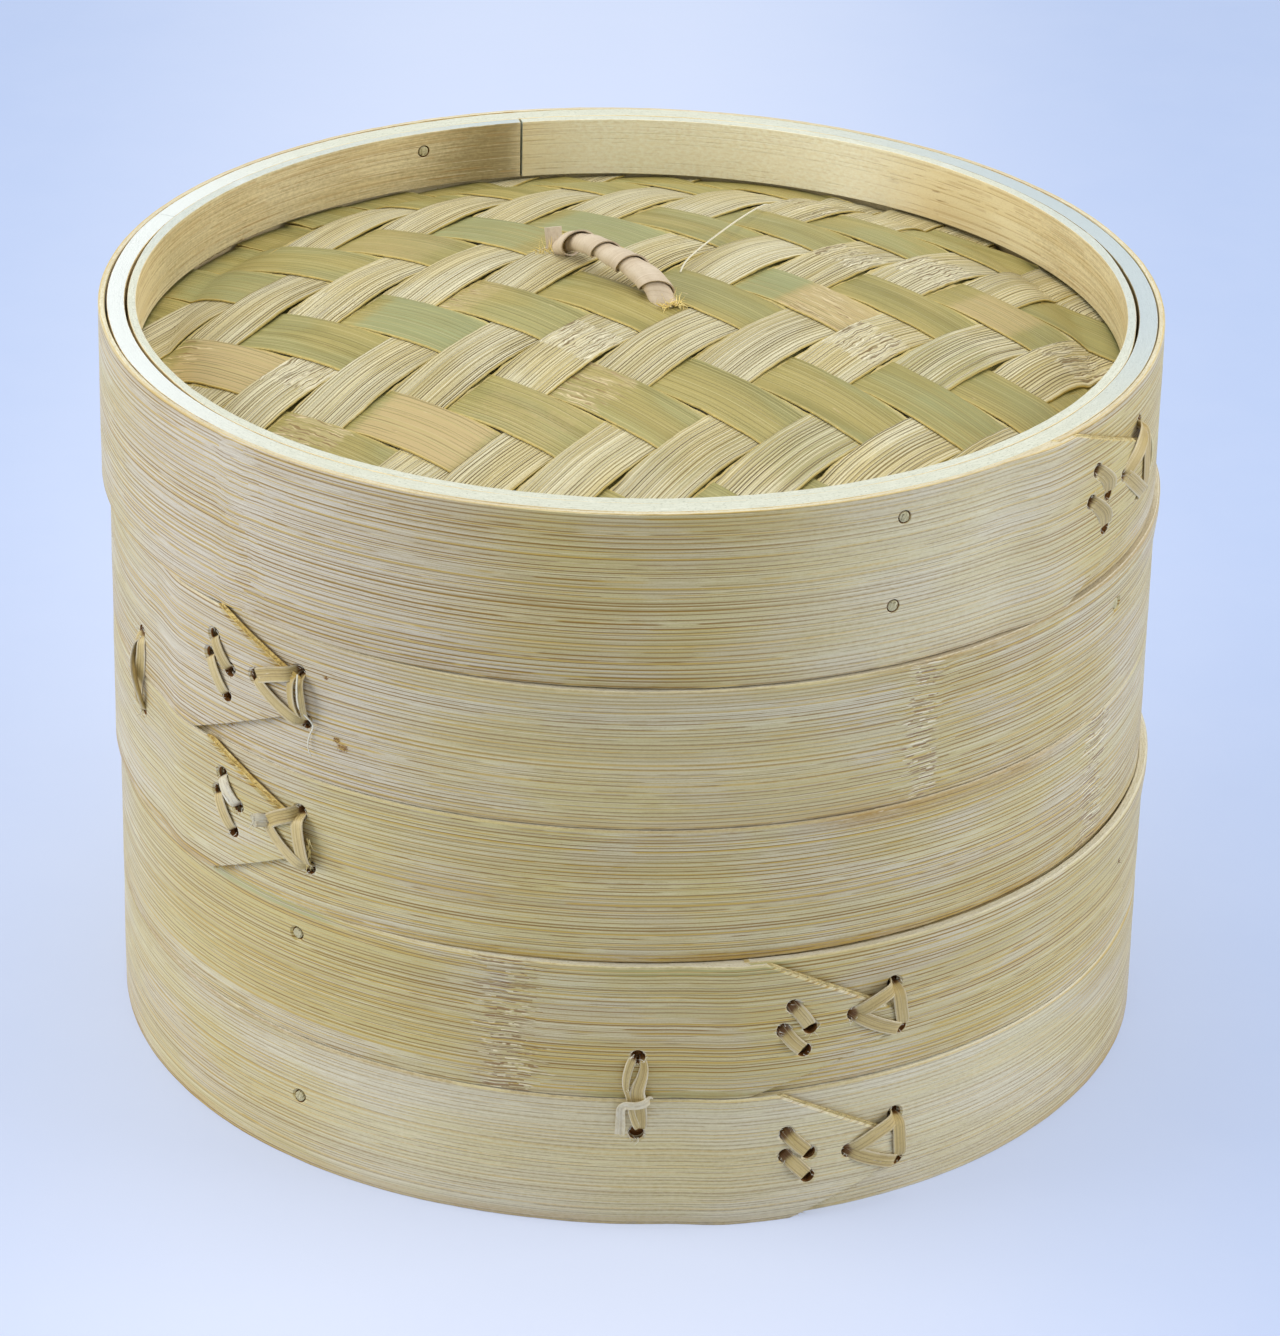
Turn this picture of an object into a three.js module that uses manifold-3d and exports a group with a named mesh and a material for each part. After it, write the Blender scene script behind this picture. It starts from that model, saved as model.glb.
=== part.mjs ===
// A two-tier bamboo steamer with a woven, domed lid.
// Millimetres, +Z up, the front faces -Y. Angles are degrees anticlockwise from +X, seen from above.
import * as THREE from 'three';
import { mergeVertices } from 'three/addons/utils/BufferGeometryUtils.js';
import Module from 'manifold-3d';

const wasm = await Module();
wasm.setup();

// Hoops and bands: radii of the outside faces, and the thickness of each bent strip
const lidBandRadius = 104;
const lidOverhang = 0.6;
const bandThickness = 1.3;
const hoopThickness = 3.5;
const innerHoopThickness = 1.95;
const layerGap = 0.3;
const jointGap = 0.4;

// Heights of the outer bands and what stands above or below them
const lowerBandHeight = 28.0;
const upperBandHeight = 28.3;
const bandSeam = 0.3;
const lidBandHeight = 34.4;
const tierGap = 0.5;
const lidGap = 1.2;
const lipHeight = 6.0;
const lipClearance = 1.5;
const seatGap = 0.3;
const stackShift = 1.0;
const cutMargin = 1.0;

// Laps: each band's outer end tapers to a tongue that lies over the band's inner end
const lidTipAngle = 339;
const upperTierTipAngle = 234.2;
const lowerTierTipAngle = 299.8;
const rampLength = 14;
const climbLead = 0.4;
const lidLap = { length: 36, taper: 31, tipHeight: 8, tipRise: 0.9 };
const tierLap = { length: 32, taper: 23, tipHeight: 10, tipRise: 0 };

// Lacing: holes as distance along the band and height, both from the middle of the tongue's tip
const lidLacing = {
  stitches: [[[-20.9, 6.7], [-15.8, -1.6]], [[-22.5, 1.0], [-16.5, -8.1]]],
  triangle: [[-8.5, 0.4], [-0.7, 8.0], [0.7, -8.6]],
};
const tierLacing = {
  stitches: [[[-23.6, 5.7], [-19.8, -0.5]], [[-25.4, 1.0], [-20.6, -5.5]]],
  triangle: [[-11.8, 1.2], [-1.4, 6.7], [0.5, -4.6]],
};
const rattanWidth = 2.8;
const rattanThickness = 0.7;
const laceHoleRadius = 1.45;
const lacePlugRadius = 1.0;
const laceLift = 0.5;
const runSpare = 1.7;
const reliefDepth = 1.4;
const reliefMargin = 2.6;

// Ties that bind a tier's two bands across the seam
const upperTierTieAngle = 204.5;
const lowerTierTieAngle = 271.8;
const tieAbove = 9.0;
const tieBelow = 7.6;

// Bamboo pegs: the lid's as depth below its rim, the tiers' as height above their band's lower edge
const pegRadius = 1.2;
const pegClearance = 0.3;
const pegProud = 0.3;
const lidPegs = {
  upper: { angle: 298.9, drop: 5.3 },
  lower: { angle: 298.0, drop: 22.8 },
  innerHoop: { angle: 117.3, drop: 4.2 },
};
const upperTierPegs = { side: { angle: 334.0, band: 'upper', rise: 20.6 } };
const lowerTierPegs = {
  upper: { angle: 232.5, band: 'upper', rise: 22.0 },
  lower: { angle: 232.6, band: 'lower', rise: 14.5 },
};

// Lid: the woven dome is held between an upper and a lower inner hoop
const upperHoopHeight = 12.3;
const innerHoopJointAngle = 104.4;
const domeRise = 13;
const stripThickness = 0.6;
const weaveLift = 0.5;
const slimAngle = -41.3;
const broadAngle = 55.6;
const slimPitch = 15.36;
const broadPitch = 13.89;
const slimPhase = 4.34;
const broadPhase = 3.62;
const stripGap = 1.4;
const clampGap = 0.3;
const liningThickness = 0.6;
const liningGap = 0.45;
const clampInset = 0.6;
const liningRings = 4;

// Handle: a low rattan arch wrapped with a flat strip, its knotted ends under the weave
const handleAngle = -50.5;
const handlePlace = [-3.5, 7.7];
const handleHalfSpan = 16.6;
const handleRise = 5.3;
const handleRadius = 1.7;
const handleKnotRadius = 3.0;
const handleShoulder = { reach: 0.84, drop: 0.5 };
const handleFlank = { reach: 0.45, drop: 0.1 };
const handleBend = 0.45;
const wrapWidth = 4.5;
const wrapThickness = 0.5;
const wrapPitch = 6.2;
const wrapTurns = 4.25;
const wrapGap = 0.3;
const stepsPerTurn = 16;

// Tier floor: slats across a support ring, tied together by two battens below
const floorRingThickness = 2.6;
const floorRingHeight = 7.0;
const floorRingRise = 0.6;
const slatWidth = 14;
const slatGap = 7.5;
const slatThickness = 1.8;
const battenWidth = 12;
const battenThickness = 2.4;
const battenOffset = 36;
const battenGrip = 4;
const battenBite = 0.1;

// Facets of every ring, and the least angle in degrees between two facet edges
const ringSides = 48;
const leastStep = 0.3;
const pegSides = 8;
const laceHoleSides = 6;
const laceSides = 4;
const liningSides = 32;
const handleSteps = 22;
const handleSides = 8;
const knotRings = 6;

const degrees = Math.PI / 180;
const tierBandRadius = lidBandRadius - lidOverhang;
const tierHeight = lowerBandHeight + bandSeam + upperBandHeight;
const tierPitch = tierHeight + tierGap;
const lidBottom = tierPitch + tierHeight + lidGap;
const tierHoopOuter = tierBandRadius - bandThickness - layerGap;
const tierHoopInner = tierHoopOuter - hoopThickness;
const lipRadius = tierBandRadius - bandThickness - lipClearance;
const tierHoopBottom = lipHeight + seatGap - tierGap;
const lidHoopOuter = lidBandRadius - bandThickness - layerGap;
const lidHoopInner = lidHoopOuter - hoopThickness;
const innerHoopOuter = lidHoopInner - layerGap;
const innerHoopInner = innerHoopOuter - innerHoopThickness;
const lidHoopBottom = lipHeight + seatGap - lidGap;
const clampRadius = lidHoopInner - clampInset;
const upperHoopBottom = lidBandHeight - upperHoopHeight;
const domeEdge = upperHoopBottom - clampGap - weaveLift - stripThickness / 2;
const liningDrop = weaveLift + stripThickness / 2 + liningGap;
const pegHoleRadius = pegRadius + pegClearance;
const drillStart = tierBandRadius - 2 * bandThickness - cutMargin;
const drillEnd = lidBandRadius + 2 * bandThickness + layerGap + cutMargin;
const blindHoleEnd = lidHoopInner + hoopThickness / 2;

const colours = {
  bamboo: 0xcfc396,
  bambooPale: 0xdcd8b8,
  bambooOlive: 0xa8a266,
  bambooFloor: 0xd8cca0,
  rattan: 0xc9ae82,
  rattanPale: 0xd9bf9f,
  peg: 0xb9a67a,
};

function finish(colour, roughness) {
  return new THREE.MeshStandardMaterial({ color: colour, roughness, metalness: 0 });
}

function named(name, geometry, material) {
  const mesh = new THREE.Mesh(geometry, material);
  mesh.name = name;
  return mesh;
}

// A closed geometry as a manifold solid, with merged vertices and no flat triangles
function toSolid(geometry) {
  const bare = geometry.clone();
  bare.deleteAttribute('normal');
  bare.deleteAttribute('uv');
  const merged = mergeVertices(bare, 1e-4);
  const index = merged.index.array;
  const triangles = [];
  for (let k = 0; k < index.length; k += 3) {
    const [a, b, c] = [index[k], index[k + 1], index[k + 2]];
    if (a !== b && b !== c && c !== a) triangles.push(a, b, c);
  }
  return new wasm.Manifold(new wasm.Mesh({
    numProp: 3,
    vertProperties: new Float32Array(merged.attributes.position.array),
    triVerts: new Uint32Array(triangles),
  }));
}

function toGeometry(solid) {
  const mesh = solid.getMesh();
  const geometry = new THREE.BufferGeometry();
  geometry.setAttribute('position', new THREE.BufferAttribute(new Float32Array(mesh.vertProperties), 3));
  geometry.setIndex(new THREE.BufferAttribute(new Uint32Array(mesh.triVerts), 1));
  geometry.computeVertexNormals();
  return geometry;
}

function cut(geometry, cutters) {
  return toGeometry(cutters.reduce((solid, cutter) => solid.subtract(toSolid(cutter)), toSolid(geometry)));
}

function join(geometries) {
  return toGeometry(geometries.map(toSolid).reduce((whole, piece) => whole.add(piece)));
}

// A solid through matching rings of points, each ring anticlockwise seen against the way it runs
function loft(rings) {
  const sides = rings[0].length;
  const positions = rings.flat().flatMap((point) => [point.x, point.y, point.z]);
  const index = [];
  for (let k = 0; k < rings.length - 1; k += 1) {
    for (let s = 0; s < sides; s += 1) {
      const next = (s + 1) % sides;
      const [a, b, c, d] = [k * sides + s, (k + 1) * sides + s, (k + 1) * sides + next, k * sides + next];
      index.push(a, b, c, a, c, d);
    }
  }
  const last = (rings.length - 1) * sides;
  for (let s = 1; s < sides - 1; s += 1) {
    index.push(0, s, s + 1);
    index.push(last, last + s + 1, last + s);
  }
  const geometry = new THREE.BufferGeometry();
  geometry.setAttribute('position', new THREE.Float32BufferAttribute(positions, 3));
  geometry.setIndex(index);
  geometry.computeVertexNormals();
  return geometry;
}

function polar(radius, angle, z) {
  return new THREE.Vector3(radius * Math.cos(angle * degrees), radius * Math.sin(angle * degrees), z);
}

// Angles from start to end on the common facet grid, with the given extra ones
function anglesBetween(start, end, extra = []) {
  const step = 360 / ringSides;
  const grid = [];
  for (let k = Math.ceil(start / step); k * step < end; k += 1) grid.push(k * step);
  const all = [start, end, ...extra, ...grid].sort((a, b) => a - b);
  return all.filter((angle, k) => k === 0 || angle - all[k - 1] > leastStep || angle === end)
    .filter((angle) => angle === end || end - angle > leastStep);
}

// A bent strip; section gives its inner and outer radius and its lower and upper edge at an angle
function bentStrip(angles, section) {
  return loft(angles.map((angle) => {
    const { inner, outer, low, high } = section(angle);
    return [polar(inner, angle, low), polar(outer, angle, low), polar(outer, angle, high),
      polar(inner, angle, high)];
  }));
}

// A hoop whose ends meet at a narrow butt joint
function hoop(jointAngle, section) {
  const half = (jointGap / 2 / section.outer) / degrees;
  return bentStrip(anglesBetween(jointAngle + half, jointAngle + 360 - half), () => section);
}

// Turns a distance along a band of this radius into an angle
function along(distance, radius) {
  return (distance / radius) / degrees;
}

// The outer band: one strip round, climbing over its own start and tapering to a tongue
function lappedBand(radius, height, tipAngle, lap) {
  const start = tipAngle - along(lap.length, radius);
  const end = tipAngle + 360;
  const rampStart = start + 360 - along(rampLength, radius);
  const taperStart = end - along(lap.taper, radius);
  const climb = bandThickness + layerGap;
  const climbLength = start + 360 - climbLead - rampStart;
  const tipMiddle = height / 2 + lap.tipRise;
  return bentStrip(anglesBetween(start, end, [rampStart, start + 360, taperStart]), (angle) => {
    const lift = climb * THREE.MathUtils.clamp((angle - rampStart) / climbLength, 0, 1);
    const taper = THREE.MathUtils.clamp((angle - taperStart) / (end - taperStart), 0, 1);
    return {
      inner: radius - bandThickness + lift,
      outer: radius + lift,
      low: THREE.MathUtils.lerp(0, tipMiddle - lap.tipHeight / 2, taper),
      high: THREE.MathUtils.lerp(height, tipMiddle + lap.tipHeight / 2, taper),
    };
  });
}

// A round bar that points outwards from the axis, for a peg or for its hole
function radialBar([angle, z], radius, from, to, sides) {
  const bar = new THREE.CylinderGeometry(radius, radius, to - from, sides);
  bar.rotateZ(-Math.PI / 2);
  bar.translate((from + to) / 2, 0, 0);
  bar.rotateZ(angle * degrees);
  bar.translate(0, 0, z);
  return bar;
}

// A flat straight run of rattan between two places on a cylinder
function flatRun([angleA, zA], [angleB, zB], radius) {
  const start = polar(radius, angleA, zA);
  const end = polar(radius, angleB, zB);
  const forward = end.clone().sub(start);
  const length = forward.length() + runSpare;
  forward.normalize();
  const outward = polar(1, (angleA + angleB) / 2, 0);
  const across = new THREE.Vector3().crossVectors(outward, forward).normalize();
  outward.crossVectors(forward, across);
  const run = new THREE.BoxGeometry(length, rattanWidth, rattanThickness);
  const middle = start.add(end).multiplyScalar(0.5);
  run.applyMatrix4(new THREE.Matrix4().makeBasis(forward, across, outward).setPosition(middle));
  return run;
}

function radialBars(places, radius, from, to, sides) {
  return places.map((place) => radialBar(place, radius, from, to, sides));
}

// Places of a lap's lacing holes as [angle, z] on a band
function lacePlaces(pattern, radius, tipAngle, tipZ) {
  const place = ([distance, rise]) => [tipAngle + along(distance, radius), tipZ + rise];
  return {
    stitches: pattern.stitches.map((stitch) => stitch.map(place)),
    triangle: pattern.triangle.map(place),
  };
}

function allHoles(places) {
  return [...places.stitches.flat(), ...places.triangle];
}

// The lacing: stitches and a triangle outside, and the runs that link them in the relief behind
function lacing(places, radius) {
  const outside = radius + bandThickness + layerGap + laceLift + rattanThickness / 2;
  const behind = radius - bandThickness - laceLift - rattanThickness / 2;
  const [first, second] = places.stitches;
  const [left, top, bottom] = places.triangle;
  return join([
    flatRun(first[0], first[1], outside),
    flatRun(second[0], second[1], outside),
    flatRun(left, top, outside),
    flatRun(top, bottom, outside),
    flatRun(bottom, left, outside),
    flatRun(first[1], second[0], behind),
    flatRun(second[1], left, behind),
    ...radialBars(allHoles(places), lacePlugRadius, behind, outside, laceSides),
  ]);
}

// The shallow pocket in a hoop that takes the back of a lacing
function relief(places, hoopOuter) {
  const angles = places.map(([angle]) => angle);
  const heights = places.map(([, z]) => z);
  const margin = along(reliefMargin, hoopOuter);
  const ends = [Math.min(...angles) - margin, Math.max(...angles) + margin];
  return bentStrip(anglesBetween(...ends), () => ({
    inner: hoopOuter - reliefDepth,
    outer: hoopOuter + layerGap / 2,
    low: Math.min(...heights) - reliefMargin,
    high: Math.max(...heights) + reliefMargin,
  }));
}

function tiePlaces(angle) {
  const seam = lowerBandHeight + bandSeam / 2;
  return [[angle, seam + tieAbove], [angle, seam - tieBelow]];
}

function tie(places, radius) {
  const outside = radius + laceLift + rattanThickness / 2;
  const behind = radius - bandThickness - laceLift - rattanThickness / 2;
  return join([
    flatRun(places[0], places[1], outside),
    flatRun(places[0], places[1], behind),
    ...radialBars(places, lacePlugRadius, behind, outside, laceSides),
  ]);
}

// One tier, standing on z = 0
function makeTier(prefix, tipAngle, tieAngle, pegs) {
  const tier = new THREE.Group();
  const band = finish(colours.bamboo, 0.62);
  const floor = finish(colours.bambooFloor, 0.7);
  const rattan = finish(colours.rattan, 0.6);
  const upperBandBottom = lowerBandHeight + bandSeam;
  const lowerLace = lacePlaces(tierLacing, tierBandRadius, tipAngle, lowerBandHeight / 2);
  const upperLace = lacePlaces(tierLacing, tierBandRadius, tipAngle, upperBandBottom + upperBandHeight / 2);
  const frontTie = tiePlaces(tieAngle);
  const backTie = tiePlaces(tieAngle + 180);
  const pegSpot = ({ angle, band: side, rise }) => [angle, rise + (side === 'upper' ? upperBandBottom : 0)];
  const pegPlaces = Object.values(pegs).map(pegSpot);
  const laceHoles = [...allHoles(lowerLace), ...allHoles(upperLace), ...frontTie, ...backTie];
  const bandHoles = [
    ...radialBars(laceHoles, laceHoleRadius, drillStart, drillEnd, laceHoleSides),
    ...radialBars(pegPlaces, pegHoleRadius, drillStart, drillEnd, pegSides),
  ];

  const wall = hoop(tipAngle + 180, {
    inner: tierHoopInner,
    outer: tierHoopOuter,
    low: tierHoopBottom,
    high: tierHeight + lipHeight,
  });
  const shavedTop = tierHeight + lipHeight + cutMargin;
  const shaving = new THREE.LatheGeometry([
    new THREE.Vector2(lipRadius, tierHeight),
    new THREE.Vector2(tierHoopOuter + cutMargin, tierHeight),
    new THREE.Vector2(tierHoopOuter + cutMargin, shavedTop),
    new THREE.Vector2(lipRadius, shavedTop),
    new THREE.Vector2(lipRadius, tierHeight),
  ], ringSides);
  shaving.rotateX(Math.PI / 2);
  const wallHoop = cut(wall, [
    shaving,
    relief(allHoles(lowerLace), tierHoopOuter),
    relief(allHoles(upperLace), tierHoopOuter),
    relief(frontTie, tierHoopOuter),
    relief(backTie, tierHoopOuter),
    ...radialBars(pegPlaces, pegHoleRadius, tierHoopInner - cutMargin, tierHoopOuter + cutMargin, pegSides),
  ]);
  tier.add(named(`${prefix}_wall_hoop`, wallHoop, finish(colours.bambooPale, 0.7)));

  const lower = lappedBand(tierBandRadius, lowerBandHeight, tipAngle, tierLap);
  tier.add(named(`${prefix}_lower_band`, cut(lower, bandHoles), band));
  const upper = lappedBand(tierBandRadius, upperBandHeight, tipAngle, tierLap);
  upper.translate(0, 0, upperBandBottom);
  tier.add(named(`${prefix}_upper_band`, cut(upper, bandHoles), band));

  tier.add(named(`${prefix}_lower_lacing`, lacing(lowerLace, tierBandRadius), rattan));
  tier.add(named(`${prefix}_upper_lacing`, lacing(upperLace, tierBandRadius), rattan));
  tier.add(named(`${prefix}_front_tie`, tie(frontTie, tierBandRadius), rattan));
  tier.add(named(`${prefix}_back_tie`, tie(backTie, tierBandRadius), rattan));
  for (const [place, spot] of Object.entries(pegs)) {
    const peg = radialBar(pegSpot(spot), pegRadius, tierHoopInner, tierBandRadius + pegProud, pegSides);
    tier.add(named(`${prefix}_${place}_peg`, peg, finish(colours.peg, 0.7)));
  }

  const ringOuter = tierHoopInner - layerGap;
  const ringBottom = tierHoopBottom + floorRingRise;
  const ring = hoop(tipAngle + 90, {
    inner: ringOuter - floorRingThickness,
    outer: ringOuter,
    low: ringBottom,
    high: ringBottom + floorRingHeight,
  });
  tier.add(named(`${prefix}_floor_ring`, ring, finish(colours.bambooPale, 0.7)));
  const grate = floorGrate(ringOuter, ringOuter - floorRingThickness, ringBottom + floorRingHeight);
  tier.add(named(`${prefix}_floor_grate`, grate, floor));
  return tier;
}

// Slats whose ends lie on the support ring, joined with the battens that hold them from below
function floorGrate(reach, ringInner, seat) {
  const battenEdge = battenOffset + battenWidth / 2;
  const battenHalf = Math.sqrt((ringInner - layerGap) ** 2 - battenEdge ** 2) - layerGap;
  const slatPitch = slatWidth + slatGap;
  const outermost = Math.floor((battenHalf - battenGrip + slatWidth / 2) / slatPitch);
  const slats = [];
  for (let k = -outermost; k <= outermost; k += 1) {
    const offset = k * slatPitch;
    const slat = new THREE.BoxGeometry(slatWidth, 2 * reach, slatThickness);
    slat.translate(offset, 0, seat + seatGap + slatThickness / 2);
    slats.push(slat);
  }
  const disc = new THREE.CylinderGeometry(reach, reach, slatThickness + 2 * cutMargin, ringSides);
  disc.rotateX(Math.PI / 2);
  disc.translate(0, 0, seat + seatGap + slatThickness / 2);
  const trimmed = slats.map((slat) => toSolid(slat).intersect(toSolid(disc)));
  const battens = [-battenOffset, battenOffset].map((offset) => {
    const batten = new THREE.BoxGeometry(2 * battenHalf, battenWidth, battenThickness);
    batten.translate(0, offset, seat + seatGap - battenThickness / 2 + battenBite);
    return toSolid(batten);
  });
  return toGeometry([...trimmed, ...battens].reduce((whole, piece) => whole.add(piece)));
}

// Height of the middle of the weave over a place on the lid
function domeHeight(x, y) {
  return domeEdge + domeRise * (1 - (x * x + y * y) / innerHoopInner ** 2);
}

const slimDirection = new THREE.Vector2(Math.cos(slimAngle * degrees), Math.sin(slimAngle * degrees));
const broadDirection = new THREE.Vector2(Math.cos(broadAngle * degrees), Math.sin(broadAngle * degrees));

// A point of the weave from its distances along the two strip directions
function weavePoint(slim, broad, rise) {
  const x = slimDirection.x * slim + broadDirection.x * broad;
  const y = slimDirection.y * slim + broadDirection.y * broad;
  return new THREE.Vector3(x, y, domeHeight(x, y) + rise);
}

// Two over, two under: whether strip i of the first family passes over strip j of the second
function passesOver(i, j) {
  const phase = (((j - i + 1) % 4) + 4) % 4;
  return phase < 2;
}

const acrossStrips = Math.sin((broadAngle - slimAngle) * degrees);

function stripIndices(pitch, phase) {
  const reach = (clampRadius - stripGap - pitch / 2) / (pitch * acrossStrips);
  const indices = [];
  for (let k = Math.ceil(phase - reach); k <= Math.floor(phase + reach); k += 1) indices.push(k);
  return indices;
}

// One strip of the weave, clipped to the circle where the hoops hold it
function weaveStrip(family, index, handleCut) {
  const own = family === 'olive'
    ? { pitch: slimPitch, phase: slimPhase, crossPitch: broadPitch, crossPhase: broadPhase }
    : { pitch: broadPitch, phase: broadPhase, crossPitch: slimPitch, crossPhase: slimPhase };
  const centre = (index - own.phase) * own.pitch;
  const half = (own.pitch - stripGap) / 2;
  const crossHalf = (own.crossPitch - stripGap) / 2;
  const count = Math.ceil(clampRadius / acrossStrips / own.crossPitch) + 1;
  const isOver = (k) => (family === 'olive' ? passesOver(index, k) : !passesOver(k, index));
  const rings = [];
  for (let k = Math.round(own.crossPhase) - count; k <= Math.round(own.crossPhase) + count; k += 1) {
    const middle = isOver(k) ? weaveLift : -weaveLift;
    const crossing = (k - own.crossPhase) * own.crossPitch;
    const from = isOver(k) === isOver(k - 1) ? crossing - own.crossPitch / 2 : crossing - crossHalf;
    const runs = isOver(k) === isOver(k + 1) ? [from] : [from, crossing + crossHalf];
    for (const run of runs) {
      const place = (side, rise) => (family === 'olive'
        ? weavePoint(run, centre + side, middle + rise)
        : weavePoint(centre - side, run, middle + rise));
      rings.push([place(-half, -stripThickness / 2), place(-half, stripThickness / 2),
        place(half, stripThickness / 2), place(half, -stripThickness / 2)]);
    }
  }
  const clipHeight = 2 * (lidBandHeight + cutMargin);
  const clip = new THREE.CylinderGeometry(clampRadius, clampRadius, clipHeight, ringSides);
  clip.rotateX(Math.PI / 2);
  return toGeometry(toSolid(loft(rings)).intersect(toSolid(clip)).subtract(toSolid(handleCut)));
}

// The sheet that backs the weave, as a domed disc
function lining(handleCut) {
  const lower = [];
  const upper = [];
  for (let k = 0; k <= liningRings; k += 1) {
    const radius = clampRadius * (k / liningRings);
    const top = domeHeight(radius, 0) - liningDrop;
    lower.push(new THREE.Vector2(radius, top - liningThickness));
    upper.unshift(new THREE.Vector2(radius, top));
  }
  const sheet = new THREE.LatheGeometry([...lower, ...upper], liningSides);
  sheet.rotateX(Math.PI / 2);
  return cut(sheet, [handleCut]);
}

// The middle line of the handle, in the upright plane through its two feet
function handleCurve() {
  const crown = domeHeight(...handlePlace) + handleRise;
  const foot = domeHeight(...handlePlace) - liningDrop - liningThickness - handleKnotRadius - clampGap;
  const rising = [
    [handleHalfSpan, foot],
    [handleHalfSpan, foot + handleBend * (crown - foot)],
    [handleShoulder.reach * handleHalfSpan, crown - handleShoulder.drop * handleRise],
    [handleFlank.reach * handleHalfSpan, crown - handleFlank.drop * handleRise],
  ];
  const falling = rising.map(([distance, z]) => [-distance, z]);
  const profile = [...falling, [0, crown], ...rising.reverse()];
  const towards = polar(1, handleAngle, 0);
  return new THREE.CatmullRomCurve3(profile.map(([distance, z]) => new THREE.Vector3(
    handlePlace[0] + towards.x * distance,
    handlePlace[1] + towards.y * distance,
    z,
  )), false, 'centripetal');
}

function tubeAlong(curve, radius, steps, sides) {
  const section = new THREE.Shape();
  for (let k = 0; k < sides; k += 1) {
    const turn = (2 * Math.PI * k) / sides;
    if (k === 0) section.moveTo(radius, 0);
    else section.lineTo(radius * Math.cos(turn), radius * Math.sin(turn));
  }
  return new THREE.ExtrudeGeometry(section, { steps, extrudePath: curve, curveSegments: 1 });
}

function handleCore(curve) {
  const knots = [curve.getPointAt(0), curve.getPointAt(1)].map((end) => {
    const knot = new THREE.SphereGeometry(handleKnotRadius, handleSides, knotRings);
    knot.rotateX(Math.PI / 2);
    knot.translate(end.x, end.y, end.z);
    return knot;
  });
  return join([tubeAlong(curve, handleRadius, handleSteps, handleSides), ...knots]);
}

// The least distance between points of a winding that are at least half a turn apart
function leastGap(rings, apart) {
  let least = Infinity;
  for (let a = 0; a < rings.length; a += 1) {
    for (let b = a + apart; b < rings.length; b += 1) {
      for (const p of rings[a]) for (const q of rings[b]) least = Math.min(least, p.distanceTo(q));
    }
  }
  return least;
}

// The flat strip wound round the handle: one unbroken helix along its middle line
function handleWrap(curve) {
  const length = curve.getLength();
  const span = wrapPitch * wrapTurns;
  const steps = Math.round(wrapTurns * stepsPerTurn);
  const sideways = polar(1, handleAngle + 90, 0);
  const radius = handleRadius + wrapGap + wrapThickness / 2;
  const spot = (k) => {
    const place = 0.5 + (span / length) * (k / steps - 0.5);
    const turn = 2 * Math.PI * wrapTurns * (k / steps);
    const forward = curve.getTangentAt(place);
    const normal = new THREE.Vector3().crossVectors(forward, sideways).normalize();
    const outward = normal.multiplyScalar(Math.cos(turn)).addScaledVector(sideways, Math.sin(turn));
    return { point: curve.getPointAt(place).addScaledVector(outward, radius), outward };
  };
  const rings = [];
  for (let k = 0; k <= steps; k += 1) {
    const { point, outward } = spot(k);
    const path = spot(Math.min(k + 0.5, steps)).point.sub(spot(Math.max(k - 0.5, 0)).point).normalize();
    const across = new THREE.Vector3().crossVectors(path, outward).normalize();
    const corner = (side, rise) => point.clone()
      .addScaledVector(across, side * wrapWidth / 2)
      .addScaledVector(outward, rise * wrapThickness / 2);
    rings.push([corner(-1, -1), corner(1, -1), corner(1, 1), corner(-1, 1)]);
  }
  const gap = leastGap(rings, stepsPerTurn / 2);
  console.log(`handle wrap: least gap to itself ${gap.toFixed(2)} mm`);
  return loft(rings);
}

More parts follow.
